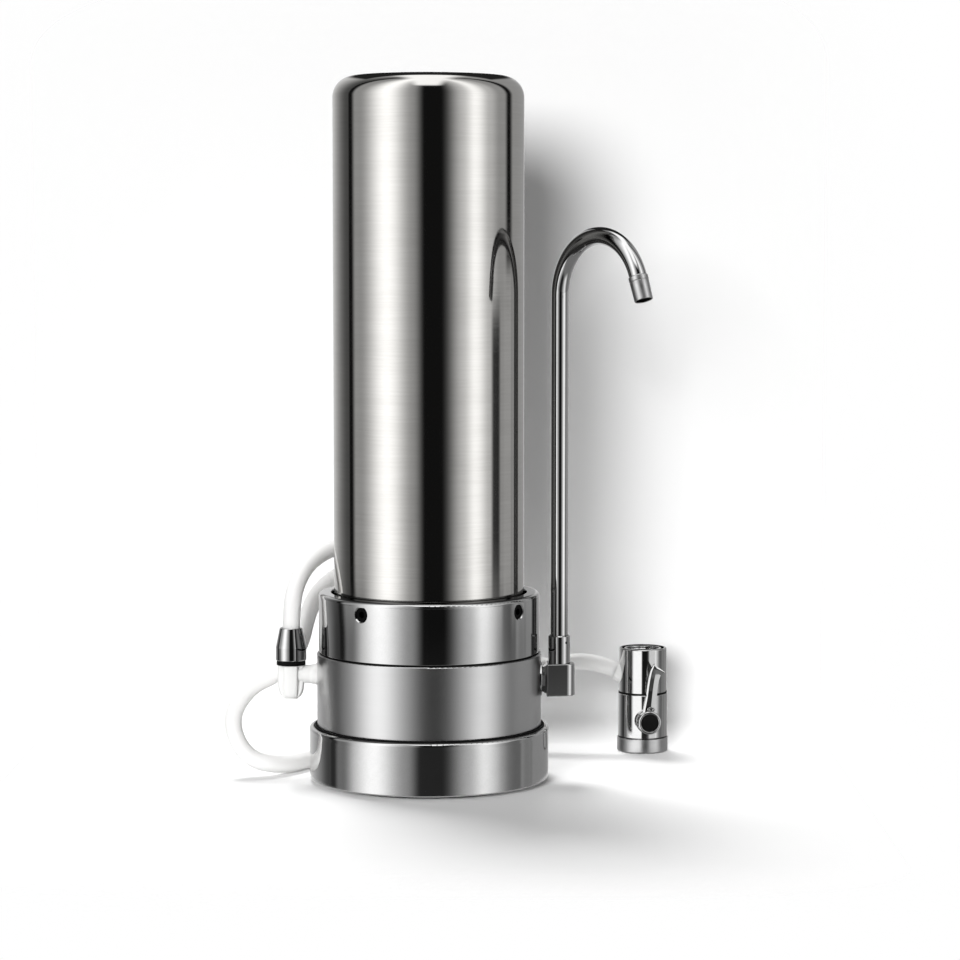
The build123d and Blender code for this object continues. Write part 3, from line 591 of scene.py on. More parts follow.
class Workshop:
    """Turns grids into pieces that ride on the frame's bodies."""

    def __init__(self, frame: Mapping[str, Any]) -> None:
        self.frame = frame
        self.materials = {finish.name: finish.material() for finish in FINISHES}

    def piece(self, name: str, skins: Sequence[Skin], body: str, slot: str, stands_for: Sequence[str] = (),
              crease: float = 40.0) -> bpy.types.Object:
        """Makes one piece from closed skins.

        Args:
            name: the piece's name.
            skins: grids in millimetres.
            body: the body that it rides on.
            slot: the record's material slot.
            stands_for: the CAD nodes that it replaces.
            crease: edges sharper than this angle, in degrees, stay crisp.

        Returns:
            The new object.
        """
        points: List[np.ndarray] = []
        faces: List[np.ndarray] = []
        count = 0
        for skin in skins:
            grid = skin.capped()
            faces.append(skin.faces(len(grid)) + count)
            points.append(grid.reshape(-1, 3))
            count += len(points[-1])
        mesh = bpy.data.meshes.new(name)
        mesh.from_pydata(np.concatenate(points) * MM, [], np.concatenate(faces).tolist())
        self.tidy(mesh, crease)
        return self.seat(new_object(name, mesh), body, slot, stands_for)

    def turned(self, name: str, profile: np.ndarray, sides: int, body: str, slot: str,
               stands_for: Sequence[str] = (), axes: Axes = Axes(), loop: bool = True) -> bpy.types.Object:
        """Makes one piece by turning a profile about the Z of its axes; the rest is as for piece()."""
        return self.piece(name, [Skin(axes.place(lathe(profile, sides)), loop)], body, slot, stands_for)

    @staticmethod
    def tidy(mesh: bpy.types.Mesh, crease: float) -> None:
        """Closes poles, turns faces outwards and smooths all but crisp edges.

        Args:
            mesh: the mesh to change.
            crease: edges sharper than this angle, in degrees, stay crisp.
        """
        work = bmesh.new()
        work.from_mesh(mesh)
        bmesh.ops.remove_doubles(work, verts=work.verts, dist=MERGE_GAP)
        bmesh.ops.dissolve_degenerate(work, edges=work.edges, dist=SHORTEST_EDGE)
        bmesh.ops.recalc_face_normals(work, faces=work.faces)
        work.to_mesh(mesh)
        work.free()
        mesh.shade_smooth()
        mesh.set_sharp_from_angle(angle=radians(crease))

    def seat(self, made: bpy.types.Object, body: str, slot: str,
             stands_for: Sequence[str]) -> bpy.types.Object:
        """Puts a piece on its body.

        Args:
            made: the piece.
            body: the body that it rides on.
            slot: the record's material slot, which is also its finish.
            stands_for: the CAD nodes that it replaces.

        Returns:
            The same piece.
        """
        made.data.materials.append(self.materials[slot])
        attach(made, body)
        if stands_for:
            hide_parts(*stands_for)
        LOG.info("piece %s on %s, finish %s", made.name, body, slot)
        return made

    def dress_nodes(self) -> None:
        """Gives every CAD node the finish of its slot."""
        for entry in self.frame["record"]["subparts"]:
            node = entry["node"]
            for slot in self.frame["nodes"][node].material_slots:
                slot.material = self.materials[entry["material_slot"]]
            LOG.info("node %s, finish %s", node, entry["material_slot"])


@dataclass
class Dome:
    """The deep-drawn shell: a low crown, a rounded corner, a straight wall and a foot flange."""

    radius: float = 51.9
    wall: float = 1.0
    bottom: float = 91.1
    top: float = 385.5
    corner: float = 11.5
    crown: float = 2.3
    flange_radius: float = 56.2
    flange: float = 1.6
    flange_fillet: float = 0.8
    mouth_round: float = 0.4
    crown_steps: int = 12
    corner_steps: int = 40
    sides: int = 256

    def cap_profile(self, inset: float) -> np.ndarray:
        """Crown and corner at an inset from the outside.

        The crown is an arc through the pole about a point on the axis; the corner is an arc that
        touches both the crown and the wall.

        Args:
            inset: 0 for the outside, the wall for the inside.

        Returns:
            Rows of (radius, height) from the pole down to the wall.
        """
        swell = (self.radius ** 2 + self.crown ** 2) / (self.crown * 2)
        centre = self.top - swell
        offset = self.radius - self.corner
        lean = asin(offset / (swell - self.corner))
        corner_z = centre + sqrt((swell - self.corner) ** 2 - offset ** 2)
        tilt = np.linspace(0.0, lean, self.crown_steps)
        crown = np.stack([np.sin(tilt), np.cos(tilt)], axis=-1) * (swell - inset) + [0.0, centre]
        turn = np.linspace(pi / 2 - lean, 0.0, self.corner_steps)[1:]
        corner = np.stack([np.cos(turn), np.sin(turn)], axis=-1) * (self.corner - inset) + [offset, corner_z]
        return np.concatenate([crown, corner])

    def build(self, shop: Workshop) -> None:
        """Turns the outside and the inside as one closed skin.

        Args:
            shop: where pieces are made.
        """
        inner = self.radius - self.wall
        middle = self.top / 2
        ledge = self.bottom + self.flange
        foot = rounded([(self.radius, middle, PLAIN), (self.radius, ledge, self.flange_fillet),
                        (self.flange_radius, ledge, SOFT), (self.flange_radius, self.bottom, SOFT),
                        (inner, self.bottom, self.mouth_round), (inner, middle, PLAIN)], closed=False)
        profile = np.concatenate([self.cap_profile(0.0), foot, self.cap_profile(self.wall)[::-1]])
        shop.turned("dome_skin", profile, self.sides, "dome", "brushed_dome", ["dome_shell"], loop=False)


@dataclass
class Gasket:
    """The black rubber ring in the skirt's rim, with a lip that stands up round the body."""

    bottom: float = 27.6
    rim: float = 29.4
    top: float = 31.5
    inner: float = 61.5
    lip: float = 62.9
    outer: float = 64.0
    lip_round: float = 0.5
    sides: int = 192

    def build(self, shop: Workshop) -> None:
        """Turns the ring and its lip.

        Args:
            shop: where pieces are made.
        """
        profile = rounded([(self.inner, self.bottom, EASED), (self.outer, self.bottom, EASED),
                           (self.outer, self.rim, SOFT), (self.lip, self.rim, EASED),
                           (self.lip, self.top, self.lip_round), (self.inner, self.top, EASED)])
        shop.turned("skirt_gasket", profile, self.sides, "base", "black_rubber", ["skirt_seal"])


@dataclass
class Rim:
    """The rounded top edge of a metal ring: a turned ring, a little proud, that runs out on its wall."""

    name: str
    node: str
    body: str
    inner: float
    ledge: float
    edge: float
    depth: float
    proud: float = 0.2
    under: float = 0.5
    bury: float = 0.05
    feather: float = 0.02
    arc_steps: int = 12
    sides: int = 256

    def build(self, shop: Workshop) -> None:
        """Turns the rim, at the size and height of the ring that carries it.

        Args:
            shop: where pieces are made.
        """
        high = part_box(self.node)[1]
        radius, top = high[0] / MM, high[2] / MM
        profile = rounded([(self.inner, top - self.under, CRISP), (self.ledge, top - self.under, CRISP),
                           (radius - self.bury, top - self.depth, self.feather),
                           (radius + self.proud, top + self.proud, self.edge),
                           (self.inner, top + self.proud, EASED)], steps=self.arc_steps)
        shop.turned(self.name, profile, self.sides, self.body, "chrome")


@dataclass
class Spout:
    """The gooseneck: a riser, an arch and a short tip, with a nozzle on its end."""

    riser_x: float = 71.3
    foot_z: float = 64.2
    bend_z: float = 265.5
    bend_radius: float = 32.6
    bend_angle: float = 159.7
    heading: float = -51.0
    tip: float = 6.0
    radius: float = 4.75
    wall: float = 1.0
    riser_steps: int = 8
    arch_steps: int = 90
    tip_steps: int = 3
    sides: int = 48
    nozzle_radius: float = 5.3
    nozzle_end_radius: float = 4.95
    nozzle_length: float = 13.5
    nozzle_wall: float = 0.6
    nozzle_gap: float = 0.08
    nozzle_round: float = 0.45
    nozzle_end_round: float = 0.35
    nozzle_stop: float = 0.15
    nozzle_web: float = 1.0
    nozzle_sides: int = 64
    groove_from: float = 2.6
    groove_to: float = 3.25
    groove_slope: float = 0.15
    groove_depth: float = 0.3
    groove_top_draft: float = 0.06
    groove_bottom_draft: float = 0.08
    lining_gap: float = 0.02
    lining_seat: float = 0.2
    lip_sink: float = 0.25
    lip_width: float = 0.5
    bowl_draft: float = 0.1
    bowl_depth: float = 1.4
    button_radius: float = 2.4
    button_draft: float = 0.2
    button_rise: float = 0.3

    def ahead(self) -> np.ndarray:
        """The level direction that the arch goes in."""
        return np.array([cos(radians(self.heading)), sin(radians(self.heading)), 0.0])

    def arch(self, turn: np.ndarray) -> Tuple[np.ndarray, np.ndarray, np.ndarray]:
        """Points of the arch, a circle about its hub in the plane of the heading.

        Args:
            turn: a column of angles from the riser, in radians.

        Returns:
            Points, directions out from the hub and directions onward.
        """
        ahead = self.ahead()
        hub = np.array([self.riser_x, 0.0, self.bend_z]) + ahead * self.bend_radius
        outward = UP * np.sin(turn) - ahead * np.cos(turn)
        onward = UP * np.cos(turn) + ahead * np.sin(turn)
        return hub + outward * self.bend_radius, outward, onward

    def rings(self, radius: float) -> np.ndarray:
        """Circles square to the centre line.

        The riser goes straight up, the arch turns by the bend angle towards the heading, and the
        tip goes straight on.

        Args:
            radius: the circles' radius.

        Returns:
            A grid of rings.
        """
        riser_z = np.linspace(self.foot_z, self.bend_z, self.riser_steps + 1)[:-1, None]
        riser = np.array([self.riser_x, 0.0, 0.0]) + riser_z * UP
        bend = np.linspace(0.0, radians(self.bend_angle), self.arch_steps)[:, None]
        arch, outward, onward = self.arch(bend)
        tip = arch[-1] + onward[-1] * np.linspace(0.0, self.tip, self.tip_steps + 1)[1:, None]
        points = np.concatenate([riser, arch, tip])
        normals = np.concatenate([np.broadcast_to(outward[0], riser.shape), outward,
                                  np.broadcast_to(outward[-1], tip.shape)])
        turn = circle(self.sides)[None, :, None]
        side = np.cross(self.ahead(), UP)
        return points[:, None] + radius * (np.cos(turn) * normals[:, None] + np.sin(turn) * side)

    def outlet(self) -> Axes:
        """The nozzle's frame.

        Returns:
            Axes at the end of the arch, with Z running out of the spout.
        """
        end, _, onward = self.arch(np.array([[radians(self.bend_angle)]]))
        side = radians(self.heading + 90)
        return Axes(tuple(end[0]), (cos(side), sin(side), 0.0), tuple(onward[0]))

    def build(self, shop: Workshop) -> None:
        """Sweeps the tube and turns the nozzle and its black lining.

        Args:
            shop: where pieces are made.
        """
        bore = self.radius - self.wall
        tube = np.concatenate([self.rings(self.radius), self.rings(bore)[::-1]])
        shop.piece("spout_arch", [Skin(tube, loop=True)], "spout", "chrome", ["spout_tube"])
        grip = self.radius + self.nozzle_gap
        throat = self.nozzle_end_radius - self.nozzle_wall
        groove = self.nozzle_radius - self.groove_depth
        stop = self.tip + self.nozzle_stop
        web = stop + self.nozzle_web
        sleeve = rounded([
            (grip, 0.0, CRISP), (self.nozzle_radius, 0.0, self.nozzle_round),
            (self.nozzle_radius - self.groove_top_draft, self.groove_from, EASED),
            (groove, self.groove_from + self.groove_slope, CRISP),
            (groove, self.groove_to - self.groove_slope, CRISP),
            (self.nozzle_radius - self.groove_bottom_draft, self.groove_to, EASED),
            (self.nozzle_end_radius, self.nozzle_length, self.nozzle_end_round),
            (throat, self.nozzle_length, EASED), (throat, web, CRISP), (bore, web, CRISP),
            (bore, stop, CRISP), (grip, stop, CRISP),
        ])
        seat = web + self.lining_seat
        lip = self.nozzle_length - self.lip_sink
        bowl = lip - self.bowl_depth
        button = bowl + self.button_rise
        lip_inner = throat - self.lip_width
        snug = throat - self.lining_gap
        lining = rounded([
            (0.0, seat, PLAIN), (snug, seat, CRISP), (snug, lip, CRISP),
            (lip_inner, lip, CRISP), (lip_inner - self.bowl_draft, bowl, EASED),
            (self.button_radius, bowl, EASED), (self.button_radius - self.button_draft, button, EASED),
            (0.0, button, PLAIN),
        ], closed=False)
        axes = self.outlet()
        shop.turned("nozzle_lining", lining, self.nozzle_sides, "spout", "black_plastic", ["nozzle_insert"],
                    axes, loop=False)
        shop.turned("nozzle_sleeve", sleeve, self.nozzle_sides, "spout", "satin_chrome", ["spout_nozzle"],
                    axes)


@dataclass
class Inlet:
    """The inlet elbow with four grip lobes, its arm and the conical hose nut."""

    axis_x: float = -75.8
    arm_z: float = 58.5
    arm_radius: float = 5.0
    arm_start: float = 0.5
    arm_end_x: float = -53.0
    arm_sides: int = 64
    flare_x: float = -62.5
    flare_radius: float = 5.5
    flare_run: float = 2.6
    flare_width: float = 1.2
    flare_lip: float = 0.2
    flare_lip_run: float = 0.1
    flare_fillet: float = 2.0
    flare_round: float = 0.6
    lobe_reach: float = 7.5
    lobe_half_width: float = 3.95
    lobe_groove: float = 0.9
    groove_width: float = 0.22
    lobe_power: float = 10.0
    cross_power: float = 40.0
    limit_power: float = 14.0
    lobe_spare: float = 0.4
    lobe_sides: int = 288
    foot_radius: float = 4.4
    foot_power: float = 1.15
    foot_steps: int = 26
    bottom: float = 45.8
    shoulder: float = 56.2
    top: float = 63.7
    top_round: float = 1.1
    top_steps: int = 9
    nut_bottom: float = 66.2
    nut_radius: float = 8.4
    nut_draft: float = 0.05
    nut_shoulder: float = 73.4
    nut_shoulder_round: float = 1.2
    nut_top: float = 84.1
    nut_top_radius: float = 6.15
    nut_round: float = 0.5
    nut_bore: float = 6.35
    nut_grip: float = 4.95
    nut_web: float = 71.5
    nut_sides: int = 96

    def lobed(self) -> np.ndarray:
        """The grip body.

        Its section is the larger of two rounded bars that cross, each a high-power oval, with a
        narrow groove cut in each valley. Its height profile is a foot that curves out to the lobes
        and a rounded top. The soft smaller of the two gives each point's radius.

        Returns:
            A grid of rings.
        """
        turn = circle(self.lobe_sides)
        long_way = np.abs(np.cos(turn) / self.lobe_reach) ** self.lobe_power
        short_way = np.abs(np.sin(turn) / self.lobe_half_width) ** self.lobe_power
        bar = (long_way + short_way) ** (-1 / self.lobe_power)
        crossing = np.roll(bar, self.lobe_sides // 4)
        section = (bar ** self.cross_power + crossing ** self.cross_power) ** (1 / self.cross_power)
        section = section - self.lobe_groove * np.exp(-(np.cos(turn * 2) / self.groove_width) ** 2)
        bend = np.linspace(0.0, 1.0, self.foot_steps)
        foot_z = self.bottom + (self.shoulder - self.bottom) * bend
        swell = np.sqrt(1 - (1 - bend) ** 2) ** self.foot_power
        foot_r = self.foot_radius + (self.lobe_reach - self.foot_radius) * swell + self.lobe_spare * bend
        lean = np.linspace(0.0, pi / 2, self.top_steps)
        top_r = self.lobe_reach + self.lobe_spare + self.top_round * (np.cos(lean) - 1)
        top_z = self.top + self.top_round * (np.sin(lean) - 1)
        height = np.concatenate([foot_z, top_z])
        limit = np.concatenate([foot_r, top_r])
        inverse = section[None, :] ** -self.limit_power + limit[:, None] ** -self.limit_power
        radius = inverse ** (-1 / self.limit_power)
        ring = np.stack([np.cos(turn), np.sin(turn), np.zeros_like(turn)], axis=-1)
        grid = radius[..., None] * ring + height[:, None, None] * UP
        return grid + np.array([self.axis_x, 0.0, 0.0])

    def build(self, shop: Workshop) -> None:
        """Makes the lobed body with its arm, and the nut.

        Args:
            shop: where pieces are made.
        """
        reach = self.arm_end_x - self.axis_x
        flare = self.flare_x - self.axis_x
        lip = flare + self.flare_lip
        arm_profile = rounded([
            (0.0, self.arm_start, PLAIN), (self.arm_radius, self.arm_start, SOFT),
            (self.arm_radius, flare - self.flare_run, self.flare_fillet),
            (self.flare_radius, flare - self.flare_width, self.flare_round), (self.flare_radius, lip, EASED),
            (self.arm_radius, lip + self.flare_lip_run, CRISP), (self.arm_radius, reach, SOFT),
            (0.0, reach, PLAIN),
        ], closed=False)
        arm_axes = Axes((self.axis_x, 0.0, self.arm_z), (0.0, 1.0, 0.0), (1.0, 0.0, 0.0))
        arm = arm_axes.place(lathe(arm_profile, self.arm_sides))
        shop.piece("elbow_grip", [Skin(self.lobed()), Skin(arm)], "base", "white_plastic", ["inlet_elbow"])
        nut = rounded([
            (self.nut_bore, self.nut_bottom, EASED), (self.nut_radius, self.nut_bottom, self.nut_round),
            (self.nut_radius - self.nut_draft, self.nut_shoulder, self.nut_shoulder_round),
            (self.nut_top_radius, self.nut_top, self.nut_round), (self.nut_grip, self.nut_top, SOFT),
            (self.nut_grip, self.nut_web, CRISP), (self.nut_bore, self.nut_web, CRISP),
        ])
        nut_axes = Axes((self.axis_x, 0.0, 0.0))
        shop.turned("hose_nut", nut, self.nut_sides, "base", "chrome", ["inlet_nut"], nut_axes)


@dataclass
class Hose:
    """The soft white hose from the conical nut, behind the dome and round to the diverter."""

    radius: float = 4.75
    length: float = 741.0
    round_steps: int = 8
    run_steps: int = 10
    route: Tuple[Triple, ...] = (
        (-75.8, 0.0, 72.2), (-75.8, 0.0, 92.0), (-73.5, 10.0, 108.0), (-66.0, 27.0, 119.0),
        (-52.0, 50.0, 124.5), (-28.0, 69.0, 121.0), (0.0, 74.0, 109.0), (24.0, 73.0, 88.0),
        (39.0, 72.0, 60.0), (36.0, 72.0, 30.0), (16.0, 75.0, 9.0), (-14.0, 77.0, 5.0),
        (-44.0, 64.0, 5.1), (-64.0, 40.0, 5.0), (-83.0, 10.0, 5.2), (-102.0, 6.0, 11.0),
        (-111.0, 10.0, 31.0), (-101.0, 17.0, 48.5), (-84.0, 22.0, 55.5), (-72.5, 28.0, 69.0),
        (-69.0, 35.0, 86.0), (-63.5, 44.0, 99.0), (-50.0, 63.0, 108.5), (-24.0, 88.0, 105.0),
        (0.0, 100.0, 92.0), (22.0, 104.0, 74.0), (42.0, 102.0, 55.0), (64.0, 97.0, 47.0),
        (90.0, 93.4, 54.43), (106.6, 93.4, 47.04),
    )

    def build(self, shop: Workshop) -> bpy.types.Object:
        """Lays one smooth curve on the route.

        Args:
            shop: where pieces are made.

        Returns:
            The hose.
        """
        curve = bpy.data.curves.new("hose_run", "CURVE")
        curve.dimensions = "3D"
        curve.bevel_depth = self.radius * MM
        curve.bevel_resolution = self.round_steps
        curve.resolution_u = self.run_steps
        curve.use_fill_caps = True
        spline = curve.splines.new("NURBS")
        spline.points.add(len(self.route) - 1)
        weighted = np.concatenate([np.array(self.route) * MM, np.ones((len(self.route), 1))], axis=1)
        spline.points.foreach_set("co", weighted.ravel())
        spline.order_u = 3
        spline.use_endpoint_u = True
        return shop.seat(new_object("hose_run", curve), "base", "white_hose", ["hose"])


@dataclass
class Diverter:
    """The valve on the tap: its thread ring, lever, hose collar and a black ring of painted shade in the
    head's joint. The rest are CAD nodes.
    """

    x: float = 122.4
    y: float = 93.4
    thread_bottom: float = 54.3
    thread_top: float = 60.1
    thread_turns: float = 5.0
    thread_depth: float = 0.45
    thread_fade: float = 8.0
    thread_steps: int = 90
    thread_crease: float = 50.0
    flange_radius: float = 12.2
    flange_top: float = 55.8
    neck_radius: float = 10.7
    neck_round: float = 0.25
    bore: float = 9.5
    ring_sides: int = 96
    hub_heading: float = 8.0
    hub_z: float = 19.4
    hub_start: float = 17.1
    hub_end: float = 22.6
    hub_radius: float = 6.7
    hub_back_round: float = 0.5
    hub_front_round: float = 0.85
    hub_hole: float = 2.6
    hub_sides: int = 72
    cap_radius: float = 5.15
    cap_round: float = 0.45
    cap_sink: float = 1.2
    lug_rise: float = 7.8
    lug_radius: float = 1.45
    lug_stretch: float = 1.58
    lug_inset: float = 0.6
    lug_eye: float = 0.75
    lug_eye_floor: float = 0.6
    lug_eye_depth: float = 1.0
    lug_sides: int = 40
    lean: float = 6.5
    blade_length: float = 32.2
    blade_thickness: float = 2.6
    blade_thinning: float = 0.3
    blade_back: float = 17.6
    blade_dip: float = 0.9
    blade_flare: float = 2.6
    blade_root: float = 1.5
    root_width: float = 8.4
    waist_width: float = 6.0
    tip_draw: float = 0.4
    tip_cut: float = 1.3
    tip_corner: float = 2.5
    tip_slant: float = 2.2
    tip_edge_share: float = 0.4
    waist_share: float = 0.5
    flare_share: float = 0.55
    corner_share: float = 0.72
    slant_share: float = 0.85
    cut_share: float = 0.86
    body_share: float = 0.94
    edge_share: float = 0.95
    body_rings: int = 48
    edge_rings: int = 8
    section_shares: Tuple[Corner, ...] = (
        (-1.0, -1.0, 0.15), (1.0, -1.0, 0.15), (1.0, 0.68, 0.1), (0.05, 1.0, 0.1), (-0.78, 1.0, 0.06),
        (-1.0, 0.58, 0.06),
    )
    section_steps: int = 3
    # Painted shade: a black ring that darkens the groove between head and valve body
    seam_z: float = 34.4
    seam_half: float = 0.6
    seam_inner: float = 13.0
    seam_radius: float = 14.03
    port_z: float = 40.0
    port_tilt: float = 24.0
    port_root: float = 10.8
    port_root_step: float = 0.2
    port_swell: float = 12.0
    port_reach: float = 9.4
    port_radius: float = 5.9
    port_turn: float = 84.0
    port_steps: int = 24
    port_sides: int = 64
    kept_nodes: Tuple[str, ...] = ("diverter_head", "adaptor_washer", "diverter_body", "valve_spindle",
                                   "spindle_oring", "lever_cap", "aerator_cap", "aerator_screen")

    def upright(self) -> Axes:
        """The valve's own frame, on the counter under its axis."""
        return Axes((self.x, self.y, 0.0))

    def thread_ring(self) -> np.ndarray:
        """The ring that screws on the tap.

        The outside is turned. Inside, the radius is the bore plus the thread's depth times a
        triangle wave of height over pitch less turn, faded out at both ends.

        Returns:
            A closed grid of rings.
        """
        turn = circle(self.ring_sides)
        rise = np.linspace(0.0, 1.0, self.thread_steps)[:, None]
        phase = (rise * self.thread_turns - turn / (2 * pi)) % 1.0
        groove = 1.0 - np.abs(phase * 2 - 1)
        fade = np.clip(np.minimum(rise, 1 - rise) * self.thread_fade, 0.0, 1.0)
        radius = self.bore + self.thread_depth * groove * fade
        height = self.thread_bottom + (self.thread_top - self.thread_bottom) * rise
        inside = np.stack([radius * np.cos(turn), radius * np.sin(turn), height + 0 * turn], axis=-1)
        outside = rounded([
            (self.bore, self.thread_top, PLAIN), (self.neck_radius, self.thread_top, self.neck_round),
            (self.neck_radius, self.flange_top, EASED), (self.flange_radius, self.flange_top, EASED),
            (self.flange_radius, self.thread_bottom, EASED), (self.bore, self.thread_bottom, PLAIN),
        ], closed=False)[1:-1]
        return np.concatenate([inside, lathe(outside, self.ring_sides)])

    def hub_axes(self) -> Axes:
        """The lever's frame.

        Returns:
            Axes at the hub, with Z running out along it and X to its right.
        """
        turn = radians(self.hub_heading)
        lean = radians(self.lean)
        across = (cos(turn) * cos(lean), sin(turn) * cos(lean), -sin(lean))
        return Axes((self.x, self.y, self.hub_z), across, (sin(turn), -cos(turn), 0.0))

    def blade(self) -> np.ndarray:
        """The lever's blade.

        One section, flat on the left of its face and bevelled on the right, is scaled to the
        width and thickness at each height. The width eases from root to waist and on to the tip,
        where the right edge runs out to a corner. The face dips towards the body and flares out
        at the tip.

        Returns:
            A grid of rings in the hub's frame.
        """
        section = rounded(self.section_shares, steps=self.section_steps)
        share = np.concatenate([np.linspace(0.0, self.body_share, self.body_rings),
                                np.linspace(self.edge_share, 1.0, self.edge_rings)])
        low = (1 + np.cos(np.clip(share / self.waist_share, 0.0, 1.0) * pi)) / 2
        half = (self.waist_width + (self.root_width - self.waist_width) * low) / 2
        left = half - self.tip_draw * ramp(share, self.waist_share) ** 2
        left = left - self.tip_cut * ramp(share, self.cut_share) ** 2
        right = half + self.tip_corner * ramp(share, self.corner_share) ** 2
        face = self.blade_back + self.blade_thickness / 2 - self.blade_dip * np.sin(share * pi)
        face = face + self.blade_flare * ramp(share, self.flare_share) ** 2
        ease = np.sqrt(1 - ramp(share, self.edge_share) ** 2)
        thick = self.blade_thickness / 2 * (1 - self.blade_thinning * share)
        thick = thick * (self.tip_edge_share + (1 - self.tip_edge_share) * ease)
        side = section[None, :, 0]
        x = side * np.where(side < 0, left[:, None], right[:, None])
        slant = self.tip_slant * ramp(share, self.slant_share)[:, None] * side
        height = (self.blade_root + (self.blade_length - self.blade_root) * share)[:, None] - slant
        z = face[:, None] + thick[:, None] * section[None, :, 1]
        return np.stack([x, height, z], axis=-1)

    def hub(self) -> np.ndarray:
        """The lever's round hub, turned with a seat for its cap.

        Returns:
            A closed grid of rings in the hub's frame.
        """
        floor = self.hub_end - self.cap_sink
        profile = rounded([
            (self.hub_hole, self.hub_start, CRISP), (self.hub_radius, self.hub_start, self.hub_back_round),
            (self.hub_radius, self.hub_end, self.hub_front_round),
            (self.cap_radius, self.hub_end, self.cap_round), (self.cap_radius, floor, CRISP),
            (self.hub_hole, floor, CRISP),
        ])
        return lathe(profile, self.hub_sides)

    def lug(self) -> np.ndarray:
        """The small eye above the hub, turned and then stretched across.

        Returns:
            A grid of rings in the hub's frame.
        """
        back = self.hub_start + self.lug_inset
        front = self.hub_end - self.lug_inset
        floor = front - self.lug_eye_depth
        profile = rounded([
            (0.0, back, PLAIN), (self.lug_radius, back, CRISP), (self.lug_radius, front, SOFT),
            (self.lug_eye, front, EASED), (self.lug_eye_floor, floor, CRISP), (0.0, floor, PLAIN),
        ], closed=False)
        stretch = np.array([self.lug_stretch, 1.0, 1.0])
        return lathe(profile, self.lug_sides) * stretch + np.array([0.0, self.lug_rise, 0.0])

    def port_collar(self, shop: Workshop) -> bpy.types.Object:
        """The white collar round the hose's end.

        Its outside is a quarter of an oval about the port's axis, from the swell out to its tip
        inside the hose.

        Args:
            shop: where pieces are made.

        Returns:
            The collar.
        """
        lean = np.linspace(0.0, radians(self.port_turn), self.port_steps)
        oval_radius = self.port_radius * np.cos(lean)
        oval_z = self.port_swell + self.port_reach * np.sin(lean)
        root = np.array([[self.port_radius - self.port_root_step, self.port_root]])
        profile = np.concatenate([root, np.stack([oval_radius, oval_z], axis=-1)])
        tilt = radians(self.port_tilt)
        axes = Axes((self.x, self.y, self.port_z), (0.0, 1.0, 0.0), (-cos(tilt), 0.0, sin(tilt)))
        return shop.turned("port_collar", profile, self.port_sides, "base", "white_plastic", ["port_nut"],
                           axes, loop=False)

    def seam(self, shop: Workshop) -> bpy.types.Object:
        """A black ring in the joint between head and valve body: painted shade that darkens the groove there,
        with a rubber finish.

        Args:
            shop: where pieces are made.

        Returns:
            The ring.
        """
        low, high = self.seam_z - self.seam_half, self.seam_z + self.seam_half
        profile = rounded([(self.seam_inner, low, CRISP), (self.seam_radius, low, EASED),
                           (self.seam_radius, high, EASED), (self.seam_inner, high, CRISP)])
        # painted shade: a black ring that darkens the groove between head and valve body
        return shop.turned("head_seam_painted_shade", profile, self.ring_sides, "base", "black_rubber",
                           axes=self.upright())

    def build(self, shop: Workshop) -> List[bpy.types.Object]:
        """Makes the thread ring, the lever, the hose's collar and the black ring of painted shade in the seam.

        Args:
            shop: where pieces are made.

        Returns:
            Every object of the diverter, CAD nodes among them.
        """
        ring = Skin(self.upright().place(self.thread_ring()), loop=True)
        thread = shop.piece("thread_ring", [ring], "adaptor", "chrome", ["faucet_adaptor"],
                            self.thread_crease)
        axes = self.hub_axes()
        skins = [Skin(axes.place(self.blade())), Skin(axes.place(self.hub()), loop=True),
                 Skin(axes.place(self.lug()))]
        lever = shop.piece("lever_handle", skins, "lever", "chrome", ["lever"])
        kept = [shop.frame["nodes"][name] for name in self.kept_nodes]
        return [thread, lever, self.port_collar(shop), self.seam(shop), *kept]


def metres(lengths: Sequence[float]) -> List[float]:
    """Millimetres as metres."""
    return [length * MM for length in lengths]


def half_turns(angles: Sequence[float]) -> List[float]:
    """Degrees as shares of half a turn."""
    return [angle / 180.0 for angle in angles]


def sines(angles: Sequence[float]) -> List[float]:
    """How high a direction of length one ends, for its angles of rise in degrees."""
    return [sin(radians(angle)) for angle in angles]


def stage_sheet(name: str, points: np.ndarray, faces: Sequence[Sequence[int]],
                material: bpy.types.Material) -> bpy.types.Object:
    """A sheet of the studio, which casts no shadow and isn't part of the object.

    Args:
        name: the sheet's name.
        points: its points, in millimetres.
        faces: corner numbers of each face.
        material: its material.

    Returns:
        The sheet.
    """
    mesh = bpy.data.meshes.new(name)
    mesh.from_pydata(points * MM, [], faces)
    mesh.shade_smooth()
    mesh.materials.append(material)
    made = new_object(name, mesh)
    made.visible_shadow = False
    return made


@dataclass(frozen=True)
class Panel:
    """A tall light panel that only metal shows, by turns in degrees from the camera side."""

    level: float
    rise: Pair
    fade: Optional[Pair] = None

    def lit(self, graph: Graph, turn: Signal) -> Signal:
        """The panel's light at a bearing: a smooth rise times a smooth fade.

        Args:
            graph: the world's graph.
            turn: the bearing from the camera side, as a share of half a turn.

        Returns:
            The level. A panel with no fade goes on to the back.
        """
        shown = graph.step(turn, *half_turns(self.rise)) * self.level
        if self.fade is None:
            return shown
        return shown * (1.0 - graph.step(turn, *half_turns(self.fade)))


